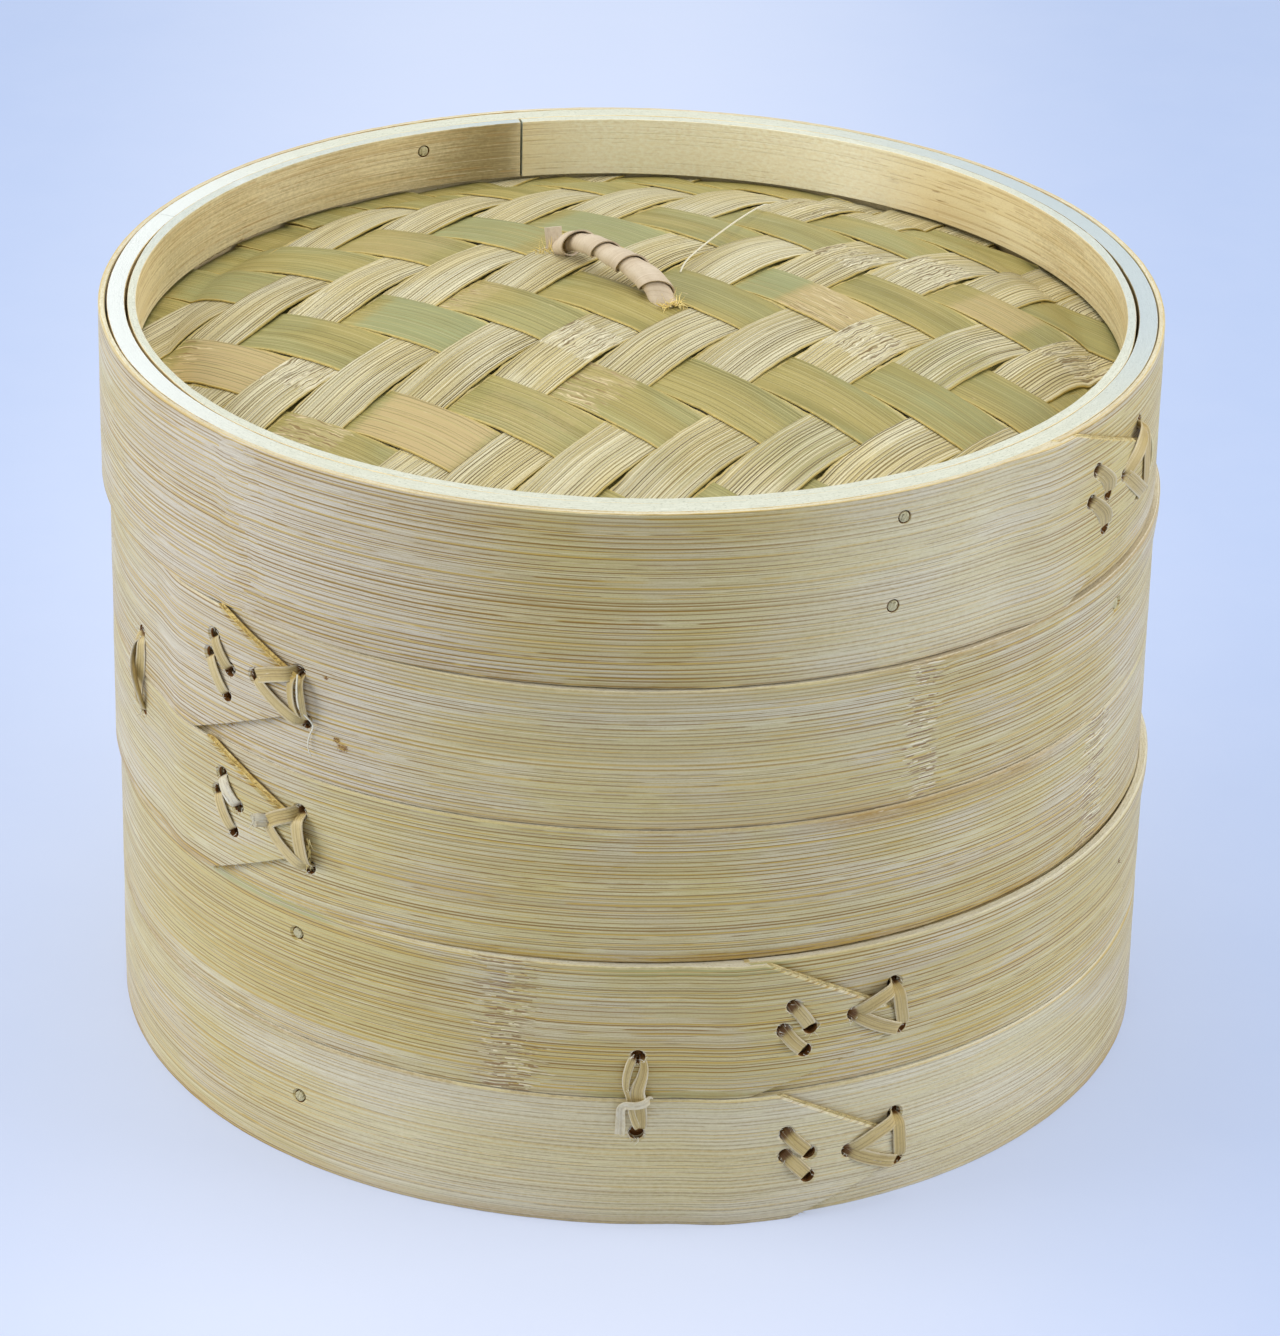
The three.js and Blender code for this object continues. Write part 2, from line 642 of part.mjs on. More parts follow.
// The lid, standing on z = 0
function makeLid() {
  const lid = new THREE.Group();
  const tipZ = lidBandHeight / 2 + lidLap.tipRise;
  const lace = lacePlaces(lidLacing, lidBandRadius, lidTipAngle, tipZ);
  const pegSpot = ({ angle, drop }) => [angle, lidBandHeight - drop];
  const outerPegs = [pegSpot(lidPegs.upper), pegSpot(lidPegs.lower)];
  const innerPegSpot = pegSpot(lidPegs.innerHoop);

  const band = cut(lappedBand(lidBandRadius, lidBandHeight, lidTipAngle, lidLap), [
    ...radialBars(allHoles(lace), laceHoleRadius, drillStart, drillEnd, laceHoleSides),
    ...radialBars(outerPegs, pegHoleRadius, drillStart, drillEnd, pegSides),
  ]);
  lid.add(named('lid_outer_band', band, finish(colours.bamboo, 0.62)));

  const middleHoop = cut(hoop(lidTipAngle + 180, {
    inner: lidHoopInner,
    outer: lidHoopOuter,
    low: lidHoopBottom,
    high: lidBandHeight,
  }), [
    relief(allHoles(lace), lidHoopOuter),
    ...radialBars(outerPegs, pegHoleRadius, lidHoopInner - cutMargin, lidHoopOuter + cutMargin, pegSides),
    radialBar(innerPegSpot, pegHoleRadius, lidHoopInner - cutMargin, blindHoleEnd, pegSides),
  ]);
  lid.add(named('lid_middle_hoop', middleHoop, finish(colours.bambooPale, 0.7)));

  const [innerHoleStart, innerHoleEnd] = [innerHoopInner - cutMargin, innerHoopOuter + cutMargin];
  const upperHoop = cut(hoop(innerHoopJointAngle, {
    inner: innerHoopInner,
    outer: innerHoopOuter,
    low: upperHoopBottom,
    high: lidBandHeight,
  }), [radialBar(innerPegSpot, pegHoleRadius, innerHoleStart, innerHoleEnd, pegSides)]);
  lid.add(named('lid_upper_inner_hoop', upperHoop, finish(colours.bamboo, 0.62)));

  const liningEdge = domeHeight(clampRadius, 0) - liningDrop - liningThickness;
  lid.add(named('lid_lower_inner_hoop', hoop(innerHoopJointAngle + 180, {
    inner: innerHoopInner,
    outer: innerHoopOuter,
    low: lidHoopBottom,
    high: liningEdge - clampGap,
  }), finish(colours.bamboo, 0.62)));

  const curve = handleCurve();
  const handleCut = tubeAlong(curve, handleRadius + wrapGap, handleSteps, handleSides);
  lid.add(named('lid_lining', lining(handleCut), finish(colours.bambooFloor, 0.8)));
  for (const index of stripIndices(slimPitch, slimPhase)) {
    const name = `lid_olive_strip_${String(index + 2).padStart(2, '0')}`;
    lid.add(named(name, weaveStrip('olive', index, handleCut), finish(colours.bambooOlive, 0.5)));
  }
  for (const index of stripIndices(broadPitch, broadPhase)) {
    const name = `lid_pale_strip_${String(index + 3).padStart(2, '0')}`;
    lid.add(named(name, weaveStrip('pale', index, handleCut), finish(colours.bambooPale, 0.75)));
  }
  lid.add(named('lid_handle_core', handleCore(curve), finish(colours.rattan, 0.6)));
  lid.add(named('lid_handle_wrap', handleWrap(curve), finish(colours.rattanPale, 0.55)));

  lid.add(named('lid_lacing', lacing(lace, lidBandRadius), finish(colours.rattan, 0.6)));
  const pegMaterial = finish(colours.peg, 0.7);
  for (const place of ['upper', 'lower']) {
    const spot = pegSpot(lidPegs[place]);
    const peg = radialBar(spot, pegRadius, lidHoopInner, lidBandRadius + pegProud, pegSides);
    lid.add(named(`lid_${place}_peg`, peg, pegMaterial));
  }
  const innerPegEnd = blindHoleEnd - layerGap;
  const innerPeg = radialBar(innerPegSpot, pegRadius, innerHoopInner - pegProud, innerPegEnd, pegSides);
  lid.add(named('lid_inner_hoop_peg', innerPeg, pegMaterial));
  return lid;
}

const steamer = new THREE.Group();
const lowerTier = makeTier('lower_tier', lowerTierTipAngle, lowerTierTieAngle, lowerTierPegs);
lowerTier.position.set(stackShift, 0, 0);
const upperTier = makeTier('upper_tier', upperTierTipAngle, upperTierTieAngle, upperTierPegs);
upperTier.position.set(0, 0, tierPitch);
const lid = makeLid();
lid.position.set(-stackShift, 0, lidBottom);
steamer.add(lowerTier, upperTier, lid);

// The frame's origin is the middle of the bounding box's floor
const middle = new THREE.Box3().setFromObject(steamer, true).getCenter(new THREE.Vector3());
steamer.position.set(-middle.x, -middle.y, 0);
steamer.updateMatrixWorld(true);

export default steamer;
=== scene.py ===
import math
import random

import bpy
import numpy as np
from mathutils import Matrix, Vector
from mathutils.geometry import delaunay_2d_cdt


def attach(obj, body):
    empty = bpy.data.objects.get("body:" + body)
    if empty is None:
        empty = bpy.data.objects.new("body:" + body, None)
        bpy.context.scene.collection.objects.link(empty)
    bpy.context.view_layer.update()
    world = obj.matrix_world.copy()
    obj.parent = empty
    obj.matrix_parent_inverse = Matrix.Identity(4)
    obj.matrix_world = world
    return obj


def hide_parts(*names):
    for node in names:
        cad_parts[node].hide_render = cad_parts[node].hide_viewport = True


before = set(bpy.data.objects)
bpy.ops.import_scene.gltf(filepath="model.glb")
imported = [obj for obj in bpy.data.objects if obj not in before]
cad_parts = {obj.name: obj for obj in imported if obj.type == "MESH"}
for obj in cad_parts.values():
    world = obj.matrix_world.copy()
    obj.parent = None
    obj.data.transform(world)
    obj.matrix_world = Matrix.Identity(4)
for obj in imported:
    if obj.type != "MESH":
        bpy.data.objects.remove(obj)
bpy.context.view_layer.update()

# Lengths are millimetres and angles degrees anticlockwise from +X, seen from above.
MM = 0.001
TAU = 2 * math.pi
LOWER = {"body": "lower_tier", "x": 1.3, "z": 0.0}
UPPER = {"body": "upper_tier", "x": 0.3, "z": 57.1}
LID = {"body": "lid", "x": -0.7, "z": 114.9}

# Radii, heights and thickness that the bands share with the solids, and the middle of a tier's seam
LID_RADIUS = 104.0
LID_HEIGHT = 34.4
TIER_RADIUS = 103.4
LOWER_BAND = 28.0
UPPER_BAND = 28.3
UPPER_BAND_FOOT = 28.3
BAND = 1.3
SEAM = 28.15
# A band's end lies this far out over its own start, and climbs there over this length
CLIMB = 1.45
RAMP = 14.0
# Each tongue's upper and lower cut: how far before the tip it starts, and its level there from the middle
UPPER_TIER_LAPS = {
    "upper": {"length": 32, "high": (21.0, 5.4), "low": (29.0, -1.2)},
    "lower": {"length": 32, "high": (24.5, 3.6), "low": (24.3, -2.8)},
}
LOWER_TIER_LAPS = {
    "upper": {"length": 32, "high": (28.0, -0.8), "low": (30.4, -4.3)},
    "lower": {"length": 32, "high": (25.0, 0.6), "low": (21.5, -5.2)},
}
LID_LAP = {"length": 36, "high": (31, 4.0), "low": (31, -3.9)}
# Lacing holes, from the tongue's tip: two stitches, then the triangle's left, top and bottom corners
UPPER_TIER_LACES = {
    "upper": {"stitches": [((-22.0, 7.6), (-17.7, 2.0)), ((-23.3, 3.2), (-18.7, -3.6))],
              "triangle": [(-10.6, 3.3), (-1.0, 6.7), (0.7, -3.0)]},
    "lower": {"stitches": [((-20.2, 7.4), (-16.0, 2.3)), ((-21.5, 3.3), (-17.2, -3.4))],
              "triangle": [(-7.9, 2.0), (-0.9, 5.9), (1.3, -5.1)]},
}
LOWER_TIER_LACES = {
    "upper": {"stitches": [((-22.4, 4.3), (-19.1, -0.5)), ((-24.3, -0.6), (-20.2, -5.3))],
              "triangle": [(-10.2, 0.6), (-1.1, 4.5), (0.5, -5.2)]},
    "lower": {"stitches": [((-23.0, 5.2), (-18.5, 0.4)), ((-23.0, 0.3), (-18.6, -4.7))],
              "triangle": [(-10.2, -0.9), (0.3, 4.0), (1.0, -6.0)]},
}
LID_LACE = {
    "stitches": [((-23.0, 6.6), (-18.4, 0.2)), ((-24.7, 0.7), (-19.0, -6.5))],
    "triangle": [(-11.4, 1.4), (-0.7, 7.8), (0.7, -7.6)],
}
# Holes: their radii, the even ring of points round each, and how deep they go into a hoop
LACE_HOLE = 1.45
PEG_HOLE = 1.32
HALO = 0.3
POCKET = 0.9
HOLE_SIDES = 18
# A tie's two holes, from the middle of the seam
TIE_HOLES = (9.0, -7.6)
NO_MASK = (0, 0, 0, 0)


def smoothstep(value, low, high):
    share = np.clip((np.asarray(value, float) - low) / (high - low), 0, 1)
    return share * share * (3 - 2 * share)


def bump_at(value, centre, spread):
    """1 at the centre and softly down to 0 a few spreads away."""
    return np.exp(-((np.asarray(value, float) - centre) / spread) ** 2)


def waves(seed, longest, octaves=4, fall=0.6):
    """A smooth irregular height between about -1 and 1 along a length."""
    dice = random.Random(seed)
    parts = [(2.13**k / longest, dice.uniform(0, TAU), fall**k) for k in range(octaves)]
    total = sum(part[2] for part in parts)

    def height(s):
        s = np.asarray(s, float)
        return sum(size * np.sin(TAU * rate * s + phase) for rate, phase, size in parts) / total

    return height


def length_to(angle, start, radius):
    """How far along a strip an azimuth lies when the strip starts at another one."""
    return math.radians((angle - start) % 360) * radius


def on_cylinder(place, angle, z, radius):
    """Points of a body from angle, height and radius."""
    turn = np.radians(angle)
    x = place["x"] + radius * np.cos(turn)
    y = radius * np.sin(turn)
    return np.column_stack(np.broadcast_arrays(x, y, place["z"] + np.asarray(z, float)))


class Shape:
    """One piece while it is built: its points with their grain and mask, and its faces with their finish."""

    def __init__(self):
        self.count = 0
        self.points = []
        self.faces = []
        self.finishes = []
        self.grain = []
        self.mask = []

    def add(self, points, faces, grain, mask=NO_MASK, finish=0):
        size = len(points)
        self.points.append(np.asarray(points, float))
        self.grain.append(np.broadcast_to(np.asarray(grain, float), (size, 3)))
        self.mask.append(np.broadcast_to(np.asarray(mask, float), (size, 4)))
        self.faces.extend(tuple(int(v) + self.count for v in face) for face in faces)
        self.finishes.extend([finish] * len(faces))
        self.count += size

    def loft(self, rings, grain, mask=NO_MASK, finish=0):
        """A closed skin through rings, each anticlockwise seen against the way they follow one another."""
        rings = np.asarray(rings, float)
        rows, sides = rings.shape[:2]
        k, s = np.meshgrid(np.arange(rows - 1), np.arange(sides), indexing="ij")
        after = (s + 1) % sides
        here, there = k * sides, (k + 1) * sides
        quads = np.stack([here + s, here + after, there + after, there + s], -1)
        faces = [tuple(q) for q in quads.reshape(-1, 4)]
        last = (rows - 1) * sides
        faces.append(tuple(range(sides - 1, -1, -1)))
        faces.append(tuple(range(last, last + sides)))
        grain = np.broadcast_to(np.asarray(grain, float), (rows, sides, 3)).reshape(-1, 3)
        mask = np.broadcast_to(np.asarray(mask, float), (rows, sides, 4)).reshape(-1, 4)
        self.add(rings.reshape(-1, 3), faces, grain, mask, finish)

    def piece(self, name, finishes, body, slot, *nodes, sharp=38):
        """The finished piece, which stands for these nodes and has the finishes of these short names."""
        mesh = bpy.data.meshes.new(name)
        points = np.concatenate(self.points) * MM
        mesh.from_pydata(points.tolist(), [], self.faces)
        for finish in finishes:
            mesh.materials.append(FINISHES[finish])
        mesh.polygons.foreach_set("material_index", self.finishes)
        grain = mesh.attributes.new("grain", "FLOAT_VECTOR", "POINT")
        grain.data.foreach_set("vector", np.concatenate(self.grain).ravel())
        mask = mesh.attributes.new("mask", "FLOAT_COLOR", "POINT")
        mask.data.foreach_set("color", np.concatenate(self.mask).ravel())
        mesh.shade_smooth()
        mesh.set_sharp_from_angle(angle=math.radians(sharp))
        made = bpy.data.objects.new(name, mesh)
        bpy.context.scene.collection.objects.link(made)
        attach(made, body)
        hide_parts(*nodes)


def curve_through(points, count):
    """A smooth line of so many points through the given ones: a centripetal Catmull-Rom curve."""
    points = np.asarray(points, float)
    padded = np.vstack([2 * points[0] - points[1], points, 2 * points[-1] - points[-2]])
    chords = np.linalg.norm(np.diff(padded, axis=0), axis=1) ** 0.5
    knots = np.concatenate([[0], np.cumsum(np.maximum(chords, 1e-6))])
    out = []
    for t in np.linspace(knots[1], knots[-2], count):
        k = int(np.clip(np.searchsorted(knots, t, side="right") - 1, 1, len(points) - 1))
        t0, t1, t2, t3 = knots[k - 1:k + 3]
        p0, p1, p2, p3 = padded[k - 1:k + 3]
        a = p0 * (t1 - t) / (t1 - t0) + p1 * (t - t0) / (t1 - t0)
        b = p1 * (t2 - t) / (t2 - t1) + p2 * (t - t1) / (t2 - t1)
        c = p2 * (t3 - t) / (t3 - t2) + p3 * (t - t2) / (t3 - t2)
        d = a * (t2 - t) / (t2 - t0) + b * (t - t0) / (t2 - t0)
        e = b * (t3 - t) / (t3 - t1) + c * (t - t1) / (t3 - t1)
        out.append(d * (t2 - t) / (t2 - t1) + e * (t - t1) / (t2 - t1))
    return np.array(out)


def unit(vectors):
    vectors = np.asarray(vectors, float)
    return vectors / np.maximum(np.linalg.norm(vectors, axis=-1, keepdims=True), 1e-9)


def ribbon(shape, path, across, width, thickness, seed, crown=0.0, finish=0, sides=12, mask=NO_MASK,
           edge_highlight=0.0):
    """A flat strip with rounded edges along a line; across points over its width."""
    path = np.asarray(path, float)
    forward = unit(np.gradient(path, axis=0))
    across = np.broadcast_to(np.asarray(across, float), path.shape)
    across = unit(across - forward * (across * forward).sum(1, keepdims=True))
    normal = np.cross(forward, across)
    width = np.broadcast_to(np.asarray(width, float), len(path))[:, None]
    thickness = np.broadcast_to(np.asarray(thickness, float), len(path))[:, None]
    turn = np.arange(sides) * TAU / sides
    broad_face, narrow_face = 0.6, 0.8
    flat = np.sign(np.cos(turn)) * np.abs(np.cos(turn)) ** broad_face
    thick = np.sign(np.sin(turn)) * np.abs(np.sin(turn)) ** narrow_face
    aside = width / 2 * flat
    rise = thickness / 2 * thick + crown * (1 - flat**2)
    rings = path[:, None] + aside[..., None] * across[:, None] + rise[..., None] * normal[:, None]
    run = np.concatenate([[0], np.cumsum(np.linalg.norm(np.diff(path, axis=0), axis=1))])
    grain = np.stack(np.broadcast_arrays(run[:, None] + 37.0 * seed, aside, seed + 0.5 * thick), -1)
    shade = np.broadcast_to(np.asarray(mask, float), (len(path), sides, 4)).copy()
    # Painted highlight along the edges, where a curled strip catches the light.
    shade[..., 3] = np.maximum(shade[..., 3], edge_highlight * smoothstep(np.abs(flat), 0.7, 1.0))
    shape.loft(rings, grain, shade, finish)


def hair(shape, root, direction, length, radius, dice, bend=0.35, finish=0):
    """One fine fibre that tapers to a point."""
    direction = unit(direction)
    aside = unit(np.cross(direction, [dice.uniform(-1, 1), dice.uniform(-1, 1), dice.uniform(-1, 1)]))
    steps = np.linspace(0, 1, 6)[:, None]
    path = np.asarray(root, float) + length * (direction * steps + aside * bend * steps**2)
    over = unit(np.cross(direction, aside))
    thin = radius * (1 - 0.85 * steps[:, 0])
    ribbon(shape, path, over, 2 * thin, 2 * thin, dice.uniform(0, 40), finish=finish, sides=4)


def flat_cells(length, low, high, holes, pockets, bevel, low_bevel, rows, spots_at=()):
    """Triangles of a strip laid flat between its two long edges, with round holes and pockets.

    Round each of the spots it is given, the points lie closer together."""
    grid, edge, end_step, fine_step = 3.0, 1.0, 1.5, 0.5
    spots = []
    seams = []
    border = []

    def ring(points, is_border):
        base = len(spots)
        spots.extend((float(s), float(z)) for s, z in points)
        border.extend([is_border] * len(points))
        seams.extend((base + k, base + (k + 1) % len(points)) for k in range(len(points)))

    def end_points(first, last):
        return np.linspace(first, last, 2 + max(1, round(abs(last[1] - first[1]) / end_step)))[1:-1]

    for inset in (0.0, bevel):
        stations = np.linspace(inset, length - inset, max(2, round(length / edge)))
        lower = np.column_stack([stations, low(stations) + min(inset, low_bevel)])
        upper = np.column_stack([stations, high(stations) - inset])[::-1]
        far, near = end_points(lower[-1], upper[0]), end_points(upper[-1], lower[0])
        ring(np.concatenate([lower, far, upper, near]), inset == 0)
    rounds = [tuple(hole[:3]) for hole in list(holes) + list(pockets)]
    turn = np.arange(HOLE_SIDES) * TAU / HOLE_SIDES
    for s, z, radius in rounds:
        for size in (radius, radius + bevel, radius + bevel + HALO):
            ring(np.column_stack([s + size * np.cos(turn), z + size * np.sin(turn)]), size == radius)

    def is_clear(s, z):
        return all((s - a) ** 2 + (z - b) ** 2 > (r + bevel + HALO + 0.5) ** 2 for a, b, r in rounds)

    for s in np.arange(grid, length - grid / 2, grid):
        bottom, top = float(low(s)) + bevel + 0.7, float(high(s)) - bevel - 0.7
        inner = [(float(s), float(z)) for z in rows if bottom < z < top and is_clear(s, z)]
        spots.extend(inner)
        border.extend([False] * len(inner))
    for s, z, reach in spots_at:
        fine = np.arange(-reach, reach + 0.1, fine_step)
        spots.extend((float(s + ds), float(z + dz)) for ds in fine for dz in fine)
        border.extend([False] * len(fine) ** 2)
    flat, _, triangles, sources, _, _ = delaunay_2d_cdt([Vector(p) for p in spots], seams, [], 0, 1e-6)
    flat = np.array([tuple(p) for p in flat])
    on_border = np.array([any(border[k] for k in source) for source in sources])
    triangles = np.array([tuple(t) for t in triangles])
    a, b, c = (flat[triangles[:, k]] for k in range(3))
    area = (b[:, 0] - a[:, 0]) * (c[:, 1] - a[:, 1]) - (c[:, 0] - a[:, 0]) * (b[:, 1] - a[:, 1])
    triangles[area < 0] = triangles[area < 0][:, ::-1]
    along, up = ((a + b + c) / 3).T
    stations = np.linspace(0.0, length, max(2, round(length / edge)))
    keep = (np.abs(area) > 1e-7) & (along > 0) & (along < length)
    keep &= up > np.interp(along, stations, low(stations))
    keep &= up < np.interp(along, stations, high(stations))
    for s, z, radius in holes:
        keep &= (along - s) ** 2 + (up - z) ** 2 > radius**2
    inside = np.full(len(triangles), -1)
    for k, (s, z, radius, _) in enumerate(pockets):
        inside[(along - s) ** 2 + (up - z) ** 2 < radius**2] = k
    return flat, triangles[keep], inside[keep], on_border


def open_edges(triangles):
    """Edges that only one triangle has, in that triangle's direction."""
    seen = {}
    for a, b, c in triangles.tolist():
        for edge in ((a, b), (b, c), (c, a)):
            seen[edge] = True
    return [edge for edge in seen if (edge[1], edge[0]) not in seen]


def bent_strip(shape, place, start, length, radius, low, high, inner, outer, rows, holes=(), pockets=(),
               mask=None, back_mask=None, seed=0, bevel=0.2, ends=None, skive=None, joints=(),
               bright_top=0.0, low_bevel=None, spots_at=()):
    """A strip bent round the axis. Finish 0 is its broad faces, 1 its long edges, 2 its ends, 3 its holes.

    Ends are the lengths from which its lower and its upper edge count as an end. Skive is how far the
    back of its upper edge is cut away, and bright top how pale that edge is: partly wear, partly a painted
    highlight."""
    low_bevel = bevel if low_bevel is None else low_bevel
    ends = (length, length) if ends is None else ends
    swelling, roughness = 0.07, 0.06
    # Shifts that keep the grain of different strips, and of a strip's front, back, edges and holes, apart
    along_shift, up_shift, edge_shift = 913.0 * seed, 57.0 * seed, 13.0 * seed
    back_shift, edge_stem, floor_shift = [411.0, 0, 5.0], seed + 11.0, [0, 0, 17.0]
    hole_glow, hole_glow_reach, joint_reach = 0.35, 0.25, 14
    flat, triangles, inside, on_border = flat_cells(
        length, low, high, holes, pockets, bevel, low_bevel, rows, spots_at)
    s, z = flat[:, 0], flat[:, 1]
    angle = start + np.degrees(s / radius)
    side = np.where(z > (low(s) + high(s)) / 2, 1.0, -1.0)
    rounding = np.where(on_border, np.where(side > 0, bevel, low_bevel), 0)
    front = outer(s, z) - rounding
    back = inner(s, z) + rounding
    shade = np.zeros((len(s), 4)) if mask is None else mask(s, z)
    behind = shade if back_mask is None else back_mask(s, z)
    to_hole = np.full(len(s), 99.0)
    for hole in list(holes) + list(pockets):
        near = np.abs(np.hypot(s - hole[0], z - hole[1]) - hole[2])
        to_hole = np.minimum(to_hole, near)
        if hole[2] == LACE_HOLE:
            shade[:, 3] = np.maximum(shade[:, 3], hole_glow * bump_at(near, 0.0, hole_glow_reach))
    on_hole = to_hole < 0.05
    # A paler upper edge: partly wear, partly a painted highlight where the edge catches light.
    if bright_top:
        at_top = on_border & ~on_hole & (side > 0) & (s < ends[1])
        shade[:, 3] = np.where(at_top, bright_top, shade[:, 3])
    slope = np.zeros(len(s))
    if skive is not None:
        slope = np.where(on_border & ~on_hole & (side > 0), skive(s), 0.0)
    stems = seed + np.zeros(len(s))
    for joint in joints:
        stems += np.clip((s - joint) / joint_reach + 0.5, 0, 1)
    grain = np.column_stack([s + along_shift, z + up_shift, stems])
    shape.add(on_cylinder(place, angle, z, front), triangles[inside < 0], grain, shade)
    back_points = on_cylinder(place, angle, z + slope, back)
    shape.add(back_points, triangles[:, ::-1], grain + back_shift, behind)

    def kind_of(v):
        if on_hole[v]:
            return 3
        cut_end = s[v] < 0.3 or s[v] > length - 0.3 or s[v] > ends[int(side[v] > 0)]
        return 2 if cut_end else 1

    def walls(edges, top, bottom):
        used = np.array(sorted({v for edge in edges for v in edge}))
        order = {v: k for k, v in enumerate(used.tolist())}
        layers = max(2, round(float(np.mean(top[used] - bottom[used])) / 0.8) + 1)
        long_edge = np.array([kind_of(v) == 1 for v in used])
        points, grains, shades = [], [], []
        for share in np.linspace(0, 1, layers):
            r = top[used] + (bottom[used] - top[used]) * share
            swell = math.sin(math.pi * share)
            uneven = swelling + roughness * np.sin(3.1 * s[used] + 9.7 * share + seed)
            lift = np.where(long_edge, swell * uneven, 0)
            level = z[used] + lift * side[used] + slope[used] * share
            points.append(on_cylinder(place, angle[used], level, r))
            stem = np.full(len(used), edge_stem)
            grains.append(np.column_stack([s[used] + along_shift, r - bottom[used] + edge_shift, stem]))
            here = shade[used].copy()
            here[:, 3] = max(0.0, 1 - 2.2 * share)
            # Red channel: how far back into the edge, for a painted shadow at the back of a cut face.
            here[:, 0] = share
            shades.append(here)
        faces = {1: [], 2: [], 3: []}
        for a, b in edges:
            kind = max(kind_of(a), kind_of(b))
            for layer in range(layers - 1):
                i, j = layer * len(used), (layer + 1) * len(used)
                faces[kind].append((i + order[a], j + order[a], j + order[b], i + order[b]))
        points, grains, shades = (np.concatenate(part) for part in (points, grains, shades))
        for kind, found in faces.items():
            if found:
                shape.add(points, found, grains, shades, kind)

    walls(open_edges(triangles), front, back)
    for k, pocket in enumerate(pockets):
        floor = outer(s, z) - pocket[3]
        cap = triangles[inside == k]
        shape.add(on_cylinder(place, angle, z, floor), cap, grain + floor_shift, shade, 3)
        walls([(b, a) for a, b in open_edges(cap)], front, floor)


def srgb(red, green, blue):
    """A colour written as it is seen on a screen, 0 to 255, as linear light."""
    return tuple(c / 255 / 12.92 if c < 10.3 else ((c / 255 + 0.055) / 1.055) ** 2.4
                 for c in (red, green, blue)) + (1.0,)


class Finish:
    """A material's nodes, written one at a time."""

    def __init__(self, name):
        self.material = bpy.data.materials.new(name)
        self.material.use_nodes = True
        self.tree = self.material.node_tree
        self.tree.nodes.clear()

    def node(self, kind, inputs=None, **settings):
        made = self.tree.nodes.new(kind)
        for key, value in settings.items():
            setattr(made, key, value)
        for key, value in (inputs or {}).items():
            if isinstance(value, bpy.types.NodeSocket):
                self.tree.links.new(value, made.inputs[key])
            else:
                made.inputs[key].default_value = value
        return made

    def attribute(self, name):
        return self.node("ShaderNodeAttribute", attribute_name=name)

    def math(self, operation, first, second=0.0, third=0.0):
        return self.node("ShaderNodeMath", {0: first, 1: second, 2: third}, operation=operation).outputs[0]

    def times(self, first, second):
        return self.math("MULTIPLY", first, second)

    def scaled_plus(self, value, factor, base):
        return self.math("MULTIPLY_ADD", value, factor, base)

    def ragged(self, noise, amount, base):
        """The base value, moved up and down by a noise."""
        return self.scaled_plus(self.math("SUBTRACT", noise, 0.5), amount, base)

    def noise(self, base, along, across, shift, detail=2.0, roughness=0.5):
        """A noise with so many features per millimetre along and across the grain."""
        rates, shifts = (along, across, 1.0), (shift, shift, shift)
        moved = self.node("ShaderNodeVectorMath", {0: base, 1: rates, 2: shifts}, operation="MULTIPLY_ADD")
        return self.plain_noise(moved.outputs[0], detail, roughness)

    def plain_noise(self, vector, detail=2.0, roughness=0.5):
        settings = {"Vector": vector, "Scale": 1.0, "Detail": detail, "Roughness": roughness}
        return self.node("ShaderNodeTexNoise", settings).outputs[0]

    def step(self, value, low, high, start=0.0, end=1.0):
        made = self.node("ShaderNodeMapRange", {"Value": value, "From Min": low, "From Max": high,
                                                "To Min": start, "To Max": end},
                         interpolation_type="SMOOTHSTEP")
        return made.outputs[0]

    def mix(self, amount, first, second, blend="MIX"):
        settings = {0: amount, 6: first, 7: second}
        return self.node("ShaderNodeMix", settings, data_type="RGBA", blend_type=blend).outputs[2]

    def triple(self, first, second, third):
        return self.node("ShaderNodeCombineXYZ", {0: first, 1: second, 2: third}).outputs[0]

    def fibres(self, along, across, strip, pitch, thin, thick, share, length, shift):
        """Fine lines along the grain, a share of the rows at a time.

        Each row may hold one line: it fades in and out over a length, and changes at a stem's joint."""
        scaled = self.scaled_plus(across, 1 / pitch, shift)
        row = self.math("FLOOR", scaled)
        part = self.math("SUBTRACT", scaled, row)
        early = self.node("ShaderNodeTexWhiteNoise", {"Vector": self.triple(row, shift, 3.0)})
        stem = self.math("FLOOR", self.scaled_plus(early.outputs["Value"], 0.9, strip))
        dice = self.node("ShaderNodeTexWhiteNoise", {"Vector": self.triple(row, stem, shift)})
        chance = self.node("ShaderNodeSeparateColor", {0: dice.outputs["Color"]})
        centre = self.step(chance.outputs[0], 0.0, 1.0, 0.3, 0.7)
        off = self.math("ABSOLUTE", self.math("SUBTRACT", part, centre))
        half = self.step(chance.outputs[1], 0.2, 1.0, thin, thick)
        line = self.step(self.math("DIVIDE", off, half), 0.65, 1.15, 1.0, 0.0)
        course = self.triple(self.times(along, 1 / length), self.times(row, 7.31), stem)
        fade = self.scaled_plus(chance.outputs[2], 0.3, self.plain_noise(course, 2.0, 0.6))
        faded = 0.65 + 0.36 * (0.5 - share)
        return self.times(line, self.step(fade, faded - 0.03, faded + 0.05))

    def surface(self, colour, roughness, height, distance, strength=1.0, gloss=0.35, sheen=0.0):
        bump = self.node("ShaderNodeBump", {"Height": height, "Distance": distance, "Strength": strength})
        shader = self.node("ShaderNodeBsdfPrincipled", {
            "Base Color": colour, "Roughness": roughness, "Normal": bump.outputs[0],
            "Specular IOR Level": gloss, "Sheen Weight": sheen, "Sheen Roughness": 0.45})
        out = self.node("ShaderNodeOutputMaterial")
        self.tree.links.new(shader.outputs[0], out.inputs[0])
        return self.material


